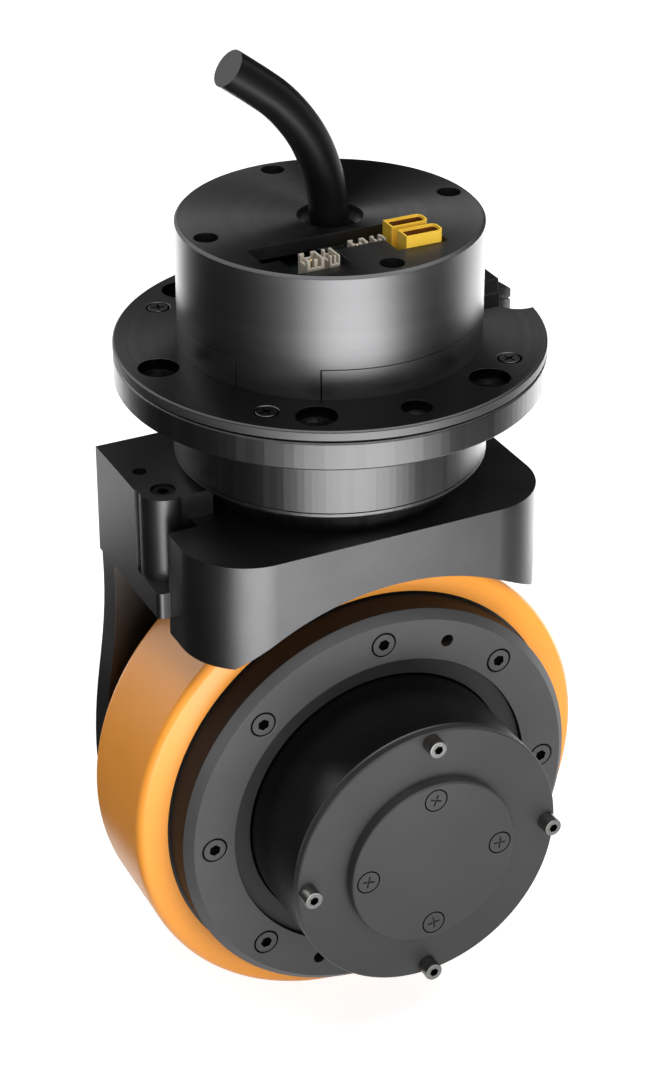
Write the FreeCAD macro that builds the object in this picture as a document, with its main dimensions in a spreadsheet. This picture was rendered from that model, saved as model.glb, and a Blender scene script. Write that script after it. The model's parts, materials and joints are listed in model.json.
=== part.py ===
import FreeCAD, Part
import math
import os

import Sketcher

# Steerable drive wheel unit.
# The origin is the centre of the underside of the mounting flange. Z points up the steering axis,
# the axle lies along Y and the motor side of the wheel faces -Y. Lengths are millimetres, angles degrees.
SIZES = {
    # Casing of the steering actuator
    "casing_radius": 45.0,
    "casing_height": 28.1,
    "casing_wall": 3.4,
    "casing_rim_wall": 5.5,
    "casing_roof": 4.0,
    "casing_edge": 0.8,
    "casing_tab_start": -152.0,
    "casing_tab_angle": 32.5,
    "base_ring_height": 9.4,
    "casing_screw_circle": 39.0,
    "casing_pillar_radius": 4.4,
    "cable_bore": 9.7,
    # Slot in the roof for the connectors, with a notch for the signal and one for the power connectors
    "slot_left": -32.5,
    "slot_right": 21.5,
    "slot_front": -23.8,
    "slot_back": -13.1,
    "signal_notch_left": -27.0,
    "signal_notch_right": -10.0,
    "signal_notch_front": -34.5,
    "power_notch_left": 5.5,
    "power_notch_front": -33.0,
    # Controller board and connectors
    "board_depth": 8.5,
    "board_thickness": 1.6,
    "board_bite": 0.8,
    "board_hole": 12.0,
    "board_gap": 0.4,
    "power_length": 12.0,
    "power_width": 5.7,
    "power_height": 12.0,
    "power_wall": 0.9,
    "power_recess": 6.0,
    "power_corner": 1.4,
    "power_end_wall": 1.5,
    "inner_power_left": 7.7,
    "inner_power_front": -23.8,
    "outer_power_left": 8.2,
    "outer_power_front": -31.8,
    "blade_root": 1.0,
    "blade_radius": 0.9,
    "signal_height": 11.9,
    "small_signal_height": 9.7,
    "signal_wall": 0.8,
    "signal_recess": 5.0,
    "signal_front": -33.0,
    "signal_depth": 6.0,
    "encoder_socket_left": -23.6,
    "encoder_socket_length": 6.2,
    "bus_socket_left": -16.6,
    "bus_socket_length": 4.0,
    "small_signal_place": 0.3,
    "small_signal_depth": 3.4,
    "brake_socket_left": -5.0,
    "brake_socket_length": 6.0,
    "sensor_socket_left": 2.0,
    "sensor_socket_length": 4.6,
    # Small cap screws of the casing and the motor cap
    "small_head_radius": 2.8,
    "small_head_height": 3.0,
    "small_shank": 1.5,
    "head_room": 0.8,
    "casing_head_depth": 9.0,
    "casing_screw_length": 22.6,
    # Mounting flange: a lower flange with the bearing collar, and a thin cover ring on top
    "flange_radius": 64.0,
    "flange_thickness": 8.6,
    "cover_thickness": 3.6,
    "cover_bore": 19.0,
    "flange_edge": 0.5,
    "chassis_circle": 54.6,
    "chassis_counterbore": 6.0,
    "chassis_floor": 5.0,
    "chassis_hole": 3.3,
    "side_hole": 4.5,
    "notch_place_x": 61.4,
    "notch_place_y": -3.1,
    "notch_radius": 7.94,
    "cover_head_radius": 3.85,
    "cover_screw_shank": 2.0,
    "cover_screw_length": 9.0,
    "collar_radius": 46.8,
    "collar_length": 22.9,
    "retainer_thickness": 2.5,
    "retainer_chamfer": 1.3,
    "retainer_bore": 34.5,
    "sensor_gap": 2.0,
    "sensor_width": 7.0,
    "sensor_front": -6.0,
    "sensor_step": 0.4,
    "sensor_length": 13.0,
    "sensor_height": 9.0,
    # Crossed roller bearing under the flange
    "bearing_pitch": 34.0,
    "bearing_gap": 0.8,
    "bearing_width": 12.5,
    "outer_ring_radius": 40.0,
    "inner_ring_bore": 28.0,
    "groove_depth": 2.4,
    "roller_radius": 2.1,
    "roller_length": 4.0,
    # Steering gears: sun, three planets and a fixed ring
    "gear_module": 1.5,
    "tooth_thinning": 0.14,
    "steer_ring_radius": 41.0,
    "steer_ring_width": 10.6,
    "housing_bore": 37.0,
    "steer_pin_radius": 4.0,
    "planet_play": 0.06,
    "planet_lift": 0.1,
    "planet_headroom": 0.8,
    "pin_standout": 0.3,
    "sun_standout": 0.5,
    "carrier_radius": 33.0,
    "sun_bore": 9.9,
    "sun_collar": 17.0,
    # Hollow shaft, steering rotor and stator
    "shaft_bore": 8.2,
    "shaft_wall": 1.0,
    "shaft_journal": 10.0,
    "shaft_head_radius": 12.4,
    "shaft_head_thickness": 2.0,
    "shaft_tail": 24.0,
    "rotor_bearing_radius": 15.0,
    "rotor_bearing_width": 5.0,
    "rotor_bearing_spacing": 17.0,
    "rotor_sleeve_wall": 2.5,
    "rotor_length": 24.0,
    "rotor_web": 4.0,
    "rotor_rim_inner": 19.0,
    "rotor_rim_outer": 22.5,
    "rotor_rim_width": 16.0,
    "rotor_rim_lift": 4.0,
    "rotor_web_lift": 9.0,
    "rotor_lift": 0.8,
    "rotor_bearing_lift": 1.0,
    "stator_lift": 1.8,
    "magnet_inset": 1.0,
    "coil_height": 2.0,
    "coil_outer_step": 1.2,
    "coil_inner_step": 1.0,
    "steer_yoke_wall": 4.0,
    "steer_magnet_thickness": 1.9,
    "stator_radius": 34.4,
    "stator_bore": 25.0,
    "stator_height": 20.0,
    "tooth_width": 3.4,
    # Output flange that carries the yoke
    "output_radius": 42.8,
    "output_foot_radius": 38.0,
    "output_thickness": 8.0,
    "output_gap": 0.5,
    "output_shoulder": 33.5,
    "output_bore": 12.0,
    # Yoke: a front bridge over the wheel and a rear arm that holds the axle
    "arch_crown": 16.24,
    "arch_clearance": 6.1,
    "bridge_front": -44.3,
    "bridge_left": -59.2,
    "bridge_right": 55.0,
    "bridge_height": 33.6,
    "bridge_corner": 21.0,
    "bridge_step_x": -49.5,
    "bridge_step_y": -14.0,
    "yoke_seam": 12.0,
    "pocket_radius": 43.3,
    "arm_side": 63.2,
    "arm_back": 31.4,
    "arm_thickness": 9.4,
    "arm_block_height": 35.3,
    "arm_waist": 62.3,
    "arm_waist_drop": 44.1,
    "arm_round": 67.3,
    "arm_bend": 26.0,
    "cheek_front": -15.5,
    "cheek_corner": 1.8,
    "ledge_drop": 26.9,
    "ear_depth": 13.1,
    "ear_side_front": 0.6,
    "ear_neck_front": -8.9,
    "ear_neck_back": 0.85,
    "ear_inner": -53.0,
    "ear_neck_end": -38.0,
    "ear_blend": 5.7,
    "boss_place_x": -55.5,
    "boss_place_y": -2.5,
    "boss_radius": 7.2,
    "dowel_place_x": -57.4,
    "dowel_place_y": 10.7,
    "dowel_boss": 4.5,
    "dowel_radius": 2.1,
    "dowel_length": 18.0,
    "dowel_cover": 4.0,
    # Larger cap screws of the yoke
    "yoke_head_radius": 3.5,
    "yoke_head_height": 4.0,
    "yoke_shank": 2.0,
    "yoke_head_depth": 4.6,
    "yoke_head_room": 0.3,
    "ear_screw_length": 29.0,
    "flange_screw_circle": 27.0,
    "flange_screw_seat": 11.1,
    "flange_screw_length": 17.0,
    "rear_rise_step": 5.0,
    "rear_rise_spread": 3.0,
    "rear_screw_x": 46.0,
    "rear_screw_drop": 16.1,
    "rear_screw_length": 26.0,
    # Wheel, measured forward from the steering axis plane
    "tyre_radius": 75.3,
    "tyre_thickness": 9.0,
    "tyre_front": 24.5,
    "tyre_width": 38.5,
    "tyre_side_slope": 1.5,
    "tyre_shoulder": 2.4,
    "rim_width": 39.5,
    "rim_bore": 51.0,
    "rim_lip_bore": 48.5,
    "rim_lip": 4.0,
    "ring_radius": 65.4,
    "ring_chamfer": 2.6,
    "ring_thickness": 12.0,
    "ring_bore": 49.6,
    "ring_spigot_bore": 46.9,
    "ring_screw_circle": 56.1,
    "ring_head_radius": 4.3,
    "ring_screw_shank": 2.0,
    "ring_screw_length": 20.0,
    "jack_hole": 2.0,
    "jack_depth": 8.0,
    "seal_inner": 43.7,
    "seal_recess": 2.0,
    "seal_width": 6.5,
    "rear_cover_inner": 46.0,
    "rear_cover_outer": 62.0,
    "rear_cover_thickness": 2.5,
    "wheel_bearing_width": 8.0,
    "wheel_bearing_inner": 46.3,
    "wheel_bearing_gap": 0.35,
    "drive_gear_place": 11.0,
    "drive_ring_width": 14.0,
    # Drive motor inside the wheel
    "motor_radius": 43.2,
    "motor_wall": 3.2,
    "motor_standout": 63.9,
    "motor_floor": 5.0,
    "motor_floor_gap": 4.0,
    "motor_collar": 1.3,
    "motor_collar_width": 2.0,
    "cap_thickness": 2.8,
    "cap_edge": 0.5,
    "cap_bore": 8.0,
    "cap_boss": 15.0,
    "cap_boss_length": 5.5,
    "cap_screw_circle": 40.1,
    "cap_head_height": 4.7,
    "cap_screw_length": 7.0,
    "cap_lug_radius": 4.0,
    "cap_lug_length": 7.9,
    "encoder_radius": 27.2,
    "encoder_thickness": 3.7,
    "encoder_pocket": 17.0,
    "encoder_roof": 1.5,
    "encoder_screw_circle": 22.0,
    "encoder_head_radius": 3.0,
    "encoder_screw_shank": 1.5,
    "encoder_screw_length": 6.0,
    "drive_stator_radius": 39.9,
    "drive_stator_bore": 26.0,
    "drive_stator_length": 25.0,
    "drive_stator_front": 55.0,
    "drive_shaft_radius": 6.0,
    "drive_bearing_radius": 12.0,
    "drive_bearing_width": 5.0,
    "drive_core_radius": 23.0,
    "drive_core_wall": 4.0,
    "drive_core_web": 5.0,
    "drive_magnet_thickness": 2.4,
    "drive_core_inset": 1.0,
    "drive_web_lift": 9.0,
    "drive_yoke_wall": 5.0,
    "shaft_end_gap": 0.6,
    "drive_gear_inset": 0.6,
    "drive_pin_depth": 9.0,
    "drive_pin_radius": 4.0,
    "carrier_disc_thickness": 8.0,
    "carrier_shoulder": 45.0,
    "carrier_spigot": 34.0,
    "carrier_spigot_length": 7.0,
    "post_circle": 32.5,
    "post_radius": 7.0,
    "carrier_bolt_circle": 39.5,
    "bolt_head_radius": 4.25,
    "bolt_head_height": 5.0,
    "bolt_head_depth": 5.4,
    "bolt_shank": 2.5,
    "bolt_length": 12.0,
    "post_bolt_length": 14.0,
    "back_plate_radius": 46.0,
    "back_plate_thickness": 2.6,
    # Cable and its grommet
    "cable_radius": 5.8,
    "grommet_sleeve": 4.0,
    "grommet_floor": 4.0,
    "grommet_bore": 4.5,
    # Clearances
    "seat_gap": 0.05,
    "run_gap": 0.08,
    "play": 0.5,
    "screw_gap": 0.2,
    "cap_hole_gap": 0.1,
    "bolt_head_room": 0.35,
    "cut_margin": 5.0,
}

# Counts, the gears' tooth numbers and the angles of what repeats
STEER_SUN_TEETH = 18
STEER_PLANET_TEETH = 15
STEER_RING_TEETH = 48
DRIVE_SUN_TEETH = 12
DRIVE_PLANET_TEETH = 24
DRIVE_RING_TEETH = 60
PLANET_ANGLES = (0, 120, 240)
POST_ANGLES = (60, 180, 300)
QUARTER_ANGLES = (0, 90, 180, 270)
COVER_SCREW_ANGLES = (45, 135, 225, 315)
CHASSIS_ANGLES = (60, 120, 180, 240, 300)
SIDE_ANGLES = (90, 270)
RING_SCREW_ANGLES = (0, 45, 90, 135, 180, 225, 270, 315)
JACK_ANGLES = (67.5, 247.5)
FLANGE_SCREW_ANGLES = (0, 180, 240, 300)
CARRIER_BOLT_ANGLES = (30, 90, 150, 210, 270, 330)
ROLLER_COUNT = 18
ROLLER_LEAN = 45
TAB_PLAY = 0.2
MAGNET_GAP_ANGLE = 3
CROSS_REACH = 0.55
CROSS_HALF_SLOT = 0.12
CROSS_DEPTH = 0.35
SOCKET_WIDTH = 0.5
SUNK_SOCKET_WIDTH = 0.36
SUNK_SOCKET_DEPTH = 0.4
SHOULDER_SHARE = 0.3
CONTACT_SHARES = (0.3, 0.68)
STEER_MAGNETS = 12
DRIVE_MAGNETS = 10
STATOR_TEETH = 18
PRESSURE_ANGLE = 25.0
TOOTH_TIP = 0.8
TOOTH_ROOT = 1.15

# The cable's centre line in the plane of X and Z, from its seat in the grommet to the cut end
CABLE_ROUTE = ((0, 37), (0, 50), (-2.2, 63.9), (-7.2, 75.9), (-15.1, 86.2), (-23.2, 92.9), (-31.3, 98.9))
ARC_SHARE = 0.45


class Dim:
    """A size, held as its value and as the spreadsheet formula that gives it."""

    def __init__(self, value, formula=None):
        self.value = float(value)
        self.is_bound = formula is not None
        self.formula = formula if self.is_bound else f"{self.value:.6f}"

    def joined(self, other, sign, value):
        dim = Dim(value, f"({self.formula} {sign} {other.formula})")
        dim.is_bound = self.is_bound or other.is_bound
        return dim

    def __add__(self, other):
        other = as_dim(other)
        return self.joined(other, "+", self.value + other.value)

    def __radd__(self, other):
        return as_dim(other) + self

    def __sub__(self, other):
        other = as_dim(other)
        return self.joined(other, "-", self.value - other.value)

    def __rsub__(self, other):
        return as_dim(other) - self

    def __mul__(self, other):
        other = as_dim(other)
        return self.joined(other, "*", self.value * other.value)

    def __rmul__(self, other):
        return as_dim(other) * self

    def __truediv__(self, other):
        other = as_dim(other)
        return self.joined(other, "/", self.value / other.value)

    def __neg__(self):
        return as_dim(0) - self


def as_dim(size):
    return size if isinstance(size, Dim) else Dim(size)


def cosine(degrees):
    degrees = as_dim(degrees)
    dim = Dim(math.cos(math.radians(degrees.value)), f"cos({degrees.formula})")
    dim.is_bound = degrees.is_bound
    return dim


def sine(degrees):
    degrees = as_dim(degrees)
    dim = Dim(math.sin(math.radians(degrees.value)), f"sin({degrees.formula})")
    dim.is_bound = degrees.is_bound
    return dim


def around(radius, degrees):
    """The place on a circle about the origin."""
    return radius * cosine(degrees), radius * sine(degrees)


doc = FreeCAD.newDocument("DriveWheelUnit")
sheet = doc.addObject("Spreadsheet::Sheet", "Sizes")
for row, (alias, value) in enumerate(SIZES.items(), 1):
    sheet.set(f"A{row}", alias)
    sheet.set(f"B{row}", str(value))
    sheet.setAlias(f"B{row}", alias)
doc.recompute()


class Sheet:
    """Gives each size of the spreadsheet by its name."""

    def __getattr__(self, alias):
        return Dim(SIZES[alias], f"Sizes.{alias}")


d = Sheet()
PIECES = []
WHEEL_TURN = FreeCAD.Rotation(FreeCAD.Vector(1, 0, 0), 90)


def bind(item, name, size):
    """Tie a property to the sheet, or set it where the size is a plain number."""
    size = as_dim(size)
    if size.is_bound:
        item.setExpression(name, size.formula)
    elif not name.startswith("Placement"):
        setattr(item, name, size.value)


def place(item, x=0, y=0, z=0, rotation=None):
    x, y, z = as_dim(x), as_dim(y), as_dim(z)
    item.Placement = FreeCAD.Placement(FreeCAD.Vector(x.value, y.value, z.value), rotation or FreeCAD.Rotation())
    bind(item, "Placement.Base.x", x)
    bind(item, "Placement.Base.y", y)
    bind(item, "Placement.Base.z", z)
    return item


def sub_part(label, item, on_axle=False):
    """Name a finished piece. A piece drawn about its own Z is turned onto the axle."""
    item.Label = label
    if on_axle:
        place(item, 0, 0, -axle_drop, WHEEL_TURN)
    PIECES.append(item)
    return item


def cylinder(name, radius, bottom, top, x=0, y=0):
    item = doc.addObject("Part::Cylinder", name)
    bind(item, "Radius", radius)
    bind(item, "Height", as_dim(top) - bottom)
    return place(item, x, y, bottom)


def cone(name, bottom_radius, top_radius, bottom, top, x=0, y=0):
    item = doc.addObject("Part::Cone", name)
    bind(item, "Radius1", bottom_radius)
    bind(item, "Radius2", top_radius)
    bind(item, "Height", as_dim(top) - bottom)
    return place(item, x, y, bottom)


def box(name, left, right, front, back, bottom, top):
    item = doc.addObject("Part::Box", name)
    bind(item, "Length", as_dim(right) - left)
    bind(item, "Width", as_dim(back) - front)
    bind(item, "Height", as_dim(top) - bottom)
    return place(item, left, front, bottom)


def fuse(name, items):
    item = doc.addObject("Part::MultiFuse", name)
    item.Shapes = items
    item.Refine = True
    return item


def cut(name, base, tools):
    item = doc.addObject("Part::Cut", name)
    item.Base = base
    item.Tool = tools[0] if len(tools) == 1 else fuse(name + "_tools", tools)
    item.Refine = True
    return item


def together(name, items):
    item = doc.addObject("Part::Compound", name)
    item.Links = items
    return item


def ring(name, outer, inner, bottom, top):
    return cut(name, cylinder(name + "_outside", outer, bottom, top), [cylinder(name + "_inside", inner, bottom, top)])


def sector(name, outer, inner, bottom, top, start, span):
    """A piece of a ring, from the start angle over the span."""
    pie = cylinder(name + "_pie", outer, bottom, top)
    bind(pie, "Angle", span)
    start = as_dim(start)
    pie.Placement.Rotation = FreeCAD.Rotation(FreeCAD.Vector(0, 0, 1), start.value)
    if start.is_bound:
        pie.setExpression("Placement.Rotation.Angle", start.formula)
    return cut(name, pie, [cylinder(name + "_core", inner, bottom, top)])


def origin_plane(body, role):
    return next(item for item in body.Origin.OriginFeatures if item.Role == role)


def new_sketch(body, name, role):
    sketch = body.newObject("Sketcher::SketchObject", name)
    sketch.AttachmentSupport = (origin_plane(body, role), [""])
    sketch.MapMode = "FlatFace"
    return sketch


def hold_point(sketch, kind, number, size):
    """Hold the start of one edge at its distance from the sketch's origin."""
    size = as_dim(size)
    if size.value == 0 and not size.is_bound:
        axis = -2 if kind == "DistanceX" else -1
        sketch.addConstraint(Sketcher.Constraint("PointOnObject", number, 1, axis))
        return
    constraint = sketch.addConstraint(Sketcher.Constraint(kind, -1, 1, number, 1, size.value))
    if size.is_bound:
        sketch.setExpression(f"Constraints[{constraint}]", size.formula)


def outline(sketch, corners):
    """Join the corners with straight edges and hold every corner by the sheet."""
    corners = [(as_dim(x), as_dim(y)) for x, y in corners]
    points = [FreeCAD.Vector(x.value, y.value, 0) for x, y in corners]
    count = len(points)
    for number in range(count):
        sketch.addGeometry(Part.LineSegment(points[number], points[(number + 1) % count]), False)
    for number in range(count):
        sketch.addConstraint(Sketcher.Constraint("Coincident", number, 2, (number + 1) % count, 1))
    for number, (x, y) in enumerate(corners):
        hold_point(sketch, "DistanceX", number, x)
        hold_point(sketch, "DistanceY", number, y)


def turned(name, corners):
    """A body turned about Z from its outline of radius and height."""
    body = doc.addObject("PartDesign::Body", name)
    sketch = new_sketch(body, name + "_profile", "XZ_Plane")
    outline(sketch, corners)
    revolution = body.newObject("PartDesign::Revolution", name + "_turned")
    revolution.Profile = sketch
    revolution.ReferenceAxis = (sketch, ["V_Axis"])
    revolution.Angle = 360
    sketch.Visibility = False
    return body


def padded(name, corners, height):
    """A body pulled up from its outline in the XY plane."""
    body = doc.addObject("PartDesign::Body", name)
    sketch = new_sketch(body, name + "_outline", "XY_Plane")
    outline(sketch, corners)
    pad = body.newObject("PartDesign::Pad", name + "_pad")
    pad.Profile = sketch
    bind(pad, "Length", height)
    return body


def filleted(body, radius, is_wanted):
    """Round the edges of a body that the test picks."""
    doc.recompute()
    base = body.Tip
    names = [f"Edge{number}" for number, edge in enumerate(base.Shape.Edges, 1) if is_wanted(edge)]
    fillet = body.newObject("PartDesign::Fillet", body.Name + "_fillet")
    fillet.Base = (base, names)
    bind(fillet, "Radius", radius)
    return body


def is_upright_at(edge, x, y):
    ends = [vertex.Point for vertex in edge.Vertexes]
    return len(ends) == 2 and all(math.hypot(end.x - x.value, end.y - y.value) < 0.01 for end in ends)


def hexagon(name, radius, bottom, top, x=0, y=0):
    item = doc.addObject("Part::Prism", name)
    item.Polygon = 6
    bind(item, "Circumradius", radius)
    bind(item, "Height", as_dim(top) - bottom)
    return place(item, x, y, bottom)


def cap_screw(name, seat, x, y, head_radius, head_height, shank, length, head_up=True, socket=False):
    """A screw with a round head that bears on its seat."""
    way = 1 if head_up else -1
    head_end = seat + way * head_height
    shank_end = seat - way * length
    low, high = (seat, head_end) if head_up else (head_end, seat)
    head = cylinder(name + "_head", head_radius, low, high, x, y)
    low, high = (shank_end, seat) if head_up else (seat, shank_end)
    screw = fuse(name, [head, cylinder(name + "_shank", shank, low, high, x, y)])
    if socket:
        floor = head_end - head_height * SOCKET_WIDTH
        screw = cut(name + "_screw", screw, [hexagon(name + "_socket", head_radius * SOCKET_WIDTH, floor, head_end, x, y)])
    return screw


def cross_tools(name, face, x, y, head_radius):
    """The two slots of a cross recess."""
    reach = head_radius * CROSS_REACH
    half_slot = head_radius * CROSS_HALF_SLOT
    floor = face - head_radius * CROSS_DEPTH
    along = box(name + "_along", x - reach, x + reach, y - half_slot, y + half_slot, floor, face)
    across = box(name + "_across", x - half_slot, x + half_slot, y - reach, y + reach, floor, face)
    return [along, across]


def countersunk_screw(name, face, x, y, head_radius, shank, length, hexagonal=False):
    """A screw with a cone head, flush with its face."""
    head_radius = head_radius - d.seat_gap
    head = cone(name + "_head", shank, head_radius, face - (head_radius - shank), face, x, y)
    stem = cylinder(name + "_stem", shank, face - length, face - (head_radius - shank) * 0.5, x, y)
    body = fuse(name + "_body", [head, stem])
    if hexagonal:
        floor = face - head_radius * SUNK_SOCKET_DEPTH
        tools = [hexagon(name + "_socket", head_radius * SUNK_SOCKET_WIDTH, floor, face, x, y)]
    else:
        tools = cross_tools(name + "_cross", face, x, y, head_radius)
    return cut(name, body, tools)


def countersunk_hole(name, face, x, y, head_radius, hole, depth):
    sink = cone(name + "_sink", hole, head_radius, face - (head_radius - hole), face, x, y)
    return [sink, cylinder(name + "_hole", hole, face - depth, face, x, y)]


# Levels along Z, from the flange underside
cover_bottom = d.flange_thickness
cover_top = cover_bottom + d.cover_thickness
casing_seam = cover_top + d.base_ring_height
casing_top = casing_seam + d.casing_height
roof_bottom = casing_top - d.casing_roof
board_top = casing_top - d.board_depth
board_bottom = board_top - d.board_thickness
collar_bottom = -d.collar_length
retainer_bottom = collar_bottom - d.retainer_thickness
output_top = retainer_bottom - d.output_gap
yoke_seat = output_top - d.output_thickness
bearing_top = collar_bottom + d.bearing_width
bearing_middle = collar_bottom + d.bearing_width / 2
steer_ring_bottom = cover_bottom - d.steer_ring_width
planet_bottom = steer_ring_bottom + d.planet_lift
planet_top = cover_bottom - d.planet_headroom
carrier_top = planet_bottom - d.play
rotor_bottom = cover_top + d.rotor_lift
stator_bottom = cover_top + d.stator_lift
low_bearing_bottom = rotor_bottom + d.rotor_bearing_lift
high_bearing_bottom = low_bearing_bottom + d.rotor_bearing_spacing
shaft_radius = d.shaft_bore + d.shaft_wall
yoke_top = output_top
bridge_bottom = yoke_seat - d.bridge_height
arm_block_bottom = yoke_top - d.arm_block_height
ledge_level = yoke_top - d.ledge_drop
arch_radius = d.tyre_radius + d.arch_clearance
axle_drop = arch_radius + d.arch_crown - yoke_seat

# Places along the axle, forward from the steering axis plane
ring_face = d.tyre_front + d.ring_thickness
drive_gear_front = d.drive_gear_place
drive_gear_back = drive_gear_front - d.drive_ring_width
front_bearing_front = drive_gear_front + d.wheel_bearing_width
rear_bearing_back = drive_gear_back - d.wheel_bearing_width
rim_back = d.tyre_front - d.rim_width
tyre_back = d.tyre_front - d.tyre_width
rim_radius = d.tyre_radius - d.tyre_thickness
arm_front = d.arm_thickness - d.arm_back
arm_rear = -d.arm_back
motor_floor_back = drive_gear_front + d.motor_floor_gap
motor_floor_front = motor_floor_back + d.motor_floor
cap_face = d.motor_standout + d.cap_thickness
encoder_face = cap_face + d.encoder_thickness


def make_casing():
    inner = d.casing_radius - d.casing_wall
    rim_inner = d.casing_radius - d.casing_rim_wall
    shell = turned("casing_shell", [
        (inner, casing_seam),
        (d.casing_radius, casing_seam),
        (d.casing_radius, casing_top - d.casing_edge),
        (d.casing_radius - d.casing_edge, casing_top),
        (d.cable_bore, casing_top),
        (d.cable_bore, roof_bottom),
        (rim_inner, roof_bottom),
        (rim_inner, board_top),
        (inner, board_top),
    ])
    tab = sector("casing_tab", d.casing_radius, inner, cover_top, casing_seam, d.casing_tab_start, d.casing_tab_angle)
    solids = [shell, tab]
    openings = []
    for number, degrees in enumerate(QUARTER_ANGLES, 1):
        x, y = around(d.casing_screw_circle, degrees)
        solids.append(cylinder(f"casing_pillar_{number}", d.casing_pillar_radius, casing_seam, roof_bottom, x, y))
        seat = casing_top - d.casing_head_depth
        openings.append(cylinder(f"casing_sink_{number}", d.small_head_radius + d.head_room, seat, casing_top, x, y))
        hole = d.small_shank + d.screw_gap
        openings.append(cylinder(f"casing_hole_{number}", hole, casing_seam, seat, x, y))
    openings.append(box("casing_slot", d.slot_left, d.slot_right, d.slot_front, d.slot_back, board_top, casing_top))
    openings.append(box("casing_signal_notch", d.signal_notch_left, d.signal_notch_right,
                        d.signal_notch_front, d.slot_front, board_top, casing_top))
    openings.append(box("casing_power_notch", d.power_notch_left, d.slot_right,
                        d.power_notch_front, d.slot_front, board_top, casing_top))
    sub_part("casing", cut("casing_cut", fuse("casing_solids", solids), openings))


def make_motor_base_ring():
    tube = ring("base_ring_tube", d.casing_radius, d.stator_radius + d.seat_gap, cover_top, casing_seam)
    inner = d.casing_radius - d.casing_wall - d.seat_gap
    openings = [sector("base_ring_gap", d.casing_radius, inner, cover_top, casing_seam,
                       d.casing_tab_start - TAB_PLAY, d.casing_tab_angle + TAB_PLAY * 2)]
    for number, degrees in enumerate(QUARTER_ANGLES, 1):
        x, y = around(d.casing_screw_circle, degrees)
        hole = d.small_shank + d.seat_gap
        openings.append(cylinder(f"base_ring_hole_{number}", hole, cover_top, casing_seam, x, y))
    sub_part("motor_base_ring", cut("base_ring", tube, openings))


def make_casing_screws():
    screws = []
    for number, degrees in enumerate(QUARTER_ANGLES, 1):
        x, y = around(d.casing_screw_circle, degrees)
        screws.append(cap_screw(f"casing_screw_{number}", casing_top - d.casing_head_depth, x, y, d.small_head_radius,
                                d.small_head_height, d.small_shank, d.casing_screw_length, socket=True))
    sub_part("casing_screws", together("casing_screw_set", screws))


def flange_openings(name, bottom, top):
    """The chassis holes, side holes and rim notch that pass through both layers of the flange."""
    openings = []
    for number, degrees in enumerate(CHASSIS_ANGLES, 1):
        x, y = around(d.chassis_circle, degrees)
        floor = d.chassis_floor if name == "housing" else bottom
        openings.append(cylinder(f"{name}_sink_{number}", d.chassis_counterbore, floor, top, x, y))
        if name == "housing":
            openings.append(cylinder(f"housing_hole_{number}", d.chassis_hole, bottom, floor, x, y))
    for number, degrees in enumerate(SIDE_ANGLES, 1):
        x, y = around(d.chassis_circle, degrees)
        openings.append(cylinder(f"{name}_side_{number}", d.side_hole, bottom, top, x, y))
    openings.append(cylinder(f"{name}_notch", d.notch_radius, bottom, top, d.notch_place_x, d.notch_place_y))
    return openings


def make_flange_cover():
    edge = d.flange_edge
    plate = turned("cover_plate", [
        (d.cover_bore, cover_bottom),
        (d.flange_radius - edge, cover_bottom),
        (d.flange_radius, cover_bottom + edge),
        (d.flange_radius, cover_top - edge),
        (d.flange_radius - edge, cover_top),
        (d.cover_bore, cover_top),
    ])
    openings = flange_openings("cover", cover_bottom, cover_top)
    hole = d.cover_screw_shank + d.seat_gap
    for number, degrees in enumerate(COVER_SCREW_ANGLES, 1):
        x, y = around(d.chassis_circle, degrees)
        openings += countersunk_hole(f"cover_screw_{number}", cover_top, x, y, d.cover_head_radius, hole, d.cover_thickness)
    sub_part("flange_cover", cut("cover_cut", plate, openings))


def make_flange_screws():
    screws = []
    for number, degrees in enumerate(COVER_SCREW_ANGLES, 1):
        x, y = around(d.chassis_circle, degrees)
        screws.append(countersunk_screw(f"flange_screw_{number}", cover_top, x, y, d.cover_head_radius,
                                        d.cover_screw_shank, d.cover_screw_length))
    sub_part("flange_screws", together("flange_screw_set", screws))


def make_bearing_housing():
    edge = d.flange_edge
    gear_seat = d.steer_ring_radius
    bearing_seat = d.outer_ring_radius
    body = turned("housing_body", [
        (gear_seat, steer_ring_bottom),
        (gear_seat, cover_bottom),
        (d.flange_radius - edge, cover_bottom),
        (d.flange_radius, cover_bottom - edge),
        (d.flange_radius, edge),
        (d.flange_radius - edge, 0),
        (d.collar_radius, 0),
        (d.collar_radius, collar_bottom),
        (bearing_seat, collar_bottom),
        (bearing_seat, bearing_top),
        (d.housing_bore, bearing_top),
        (d.housing_bore, steer_ring_bottom),
    ])
    openings = flange_openings("housing", as_dim(0), cover_bottom)
    for number, degrees in enumerate(COVER_SCREW_ANGLES, 1):
        x, y = around(d.chassis_circle, degrees)
        floor = cover_top - d.cover_screw_length
        hole = d.cover_screw_shank + d.seat_gap
        openings.append(cylinder(f"housing_thread_{number}", hole, floor, cover_bottom, x, y))
    sub_part("bearing_housing", cut("housing_cut", body, openings))


def make_bearing_retainer():
    sub_part("bearing_retainer", turned("retainer_body", [
        (d.retainer_bore, retainer_bottom),
        (d.collar_radius - d.retainer_chamfer, retainer_bottom),
        (d.collar_radius, retainer_bottom + d.retainer_chamfer),
        (d.collar_radius, collar_bottom),
        (d.retainer_bore, collar_bottom),
    ]))


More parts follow.
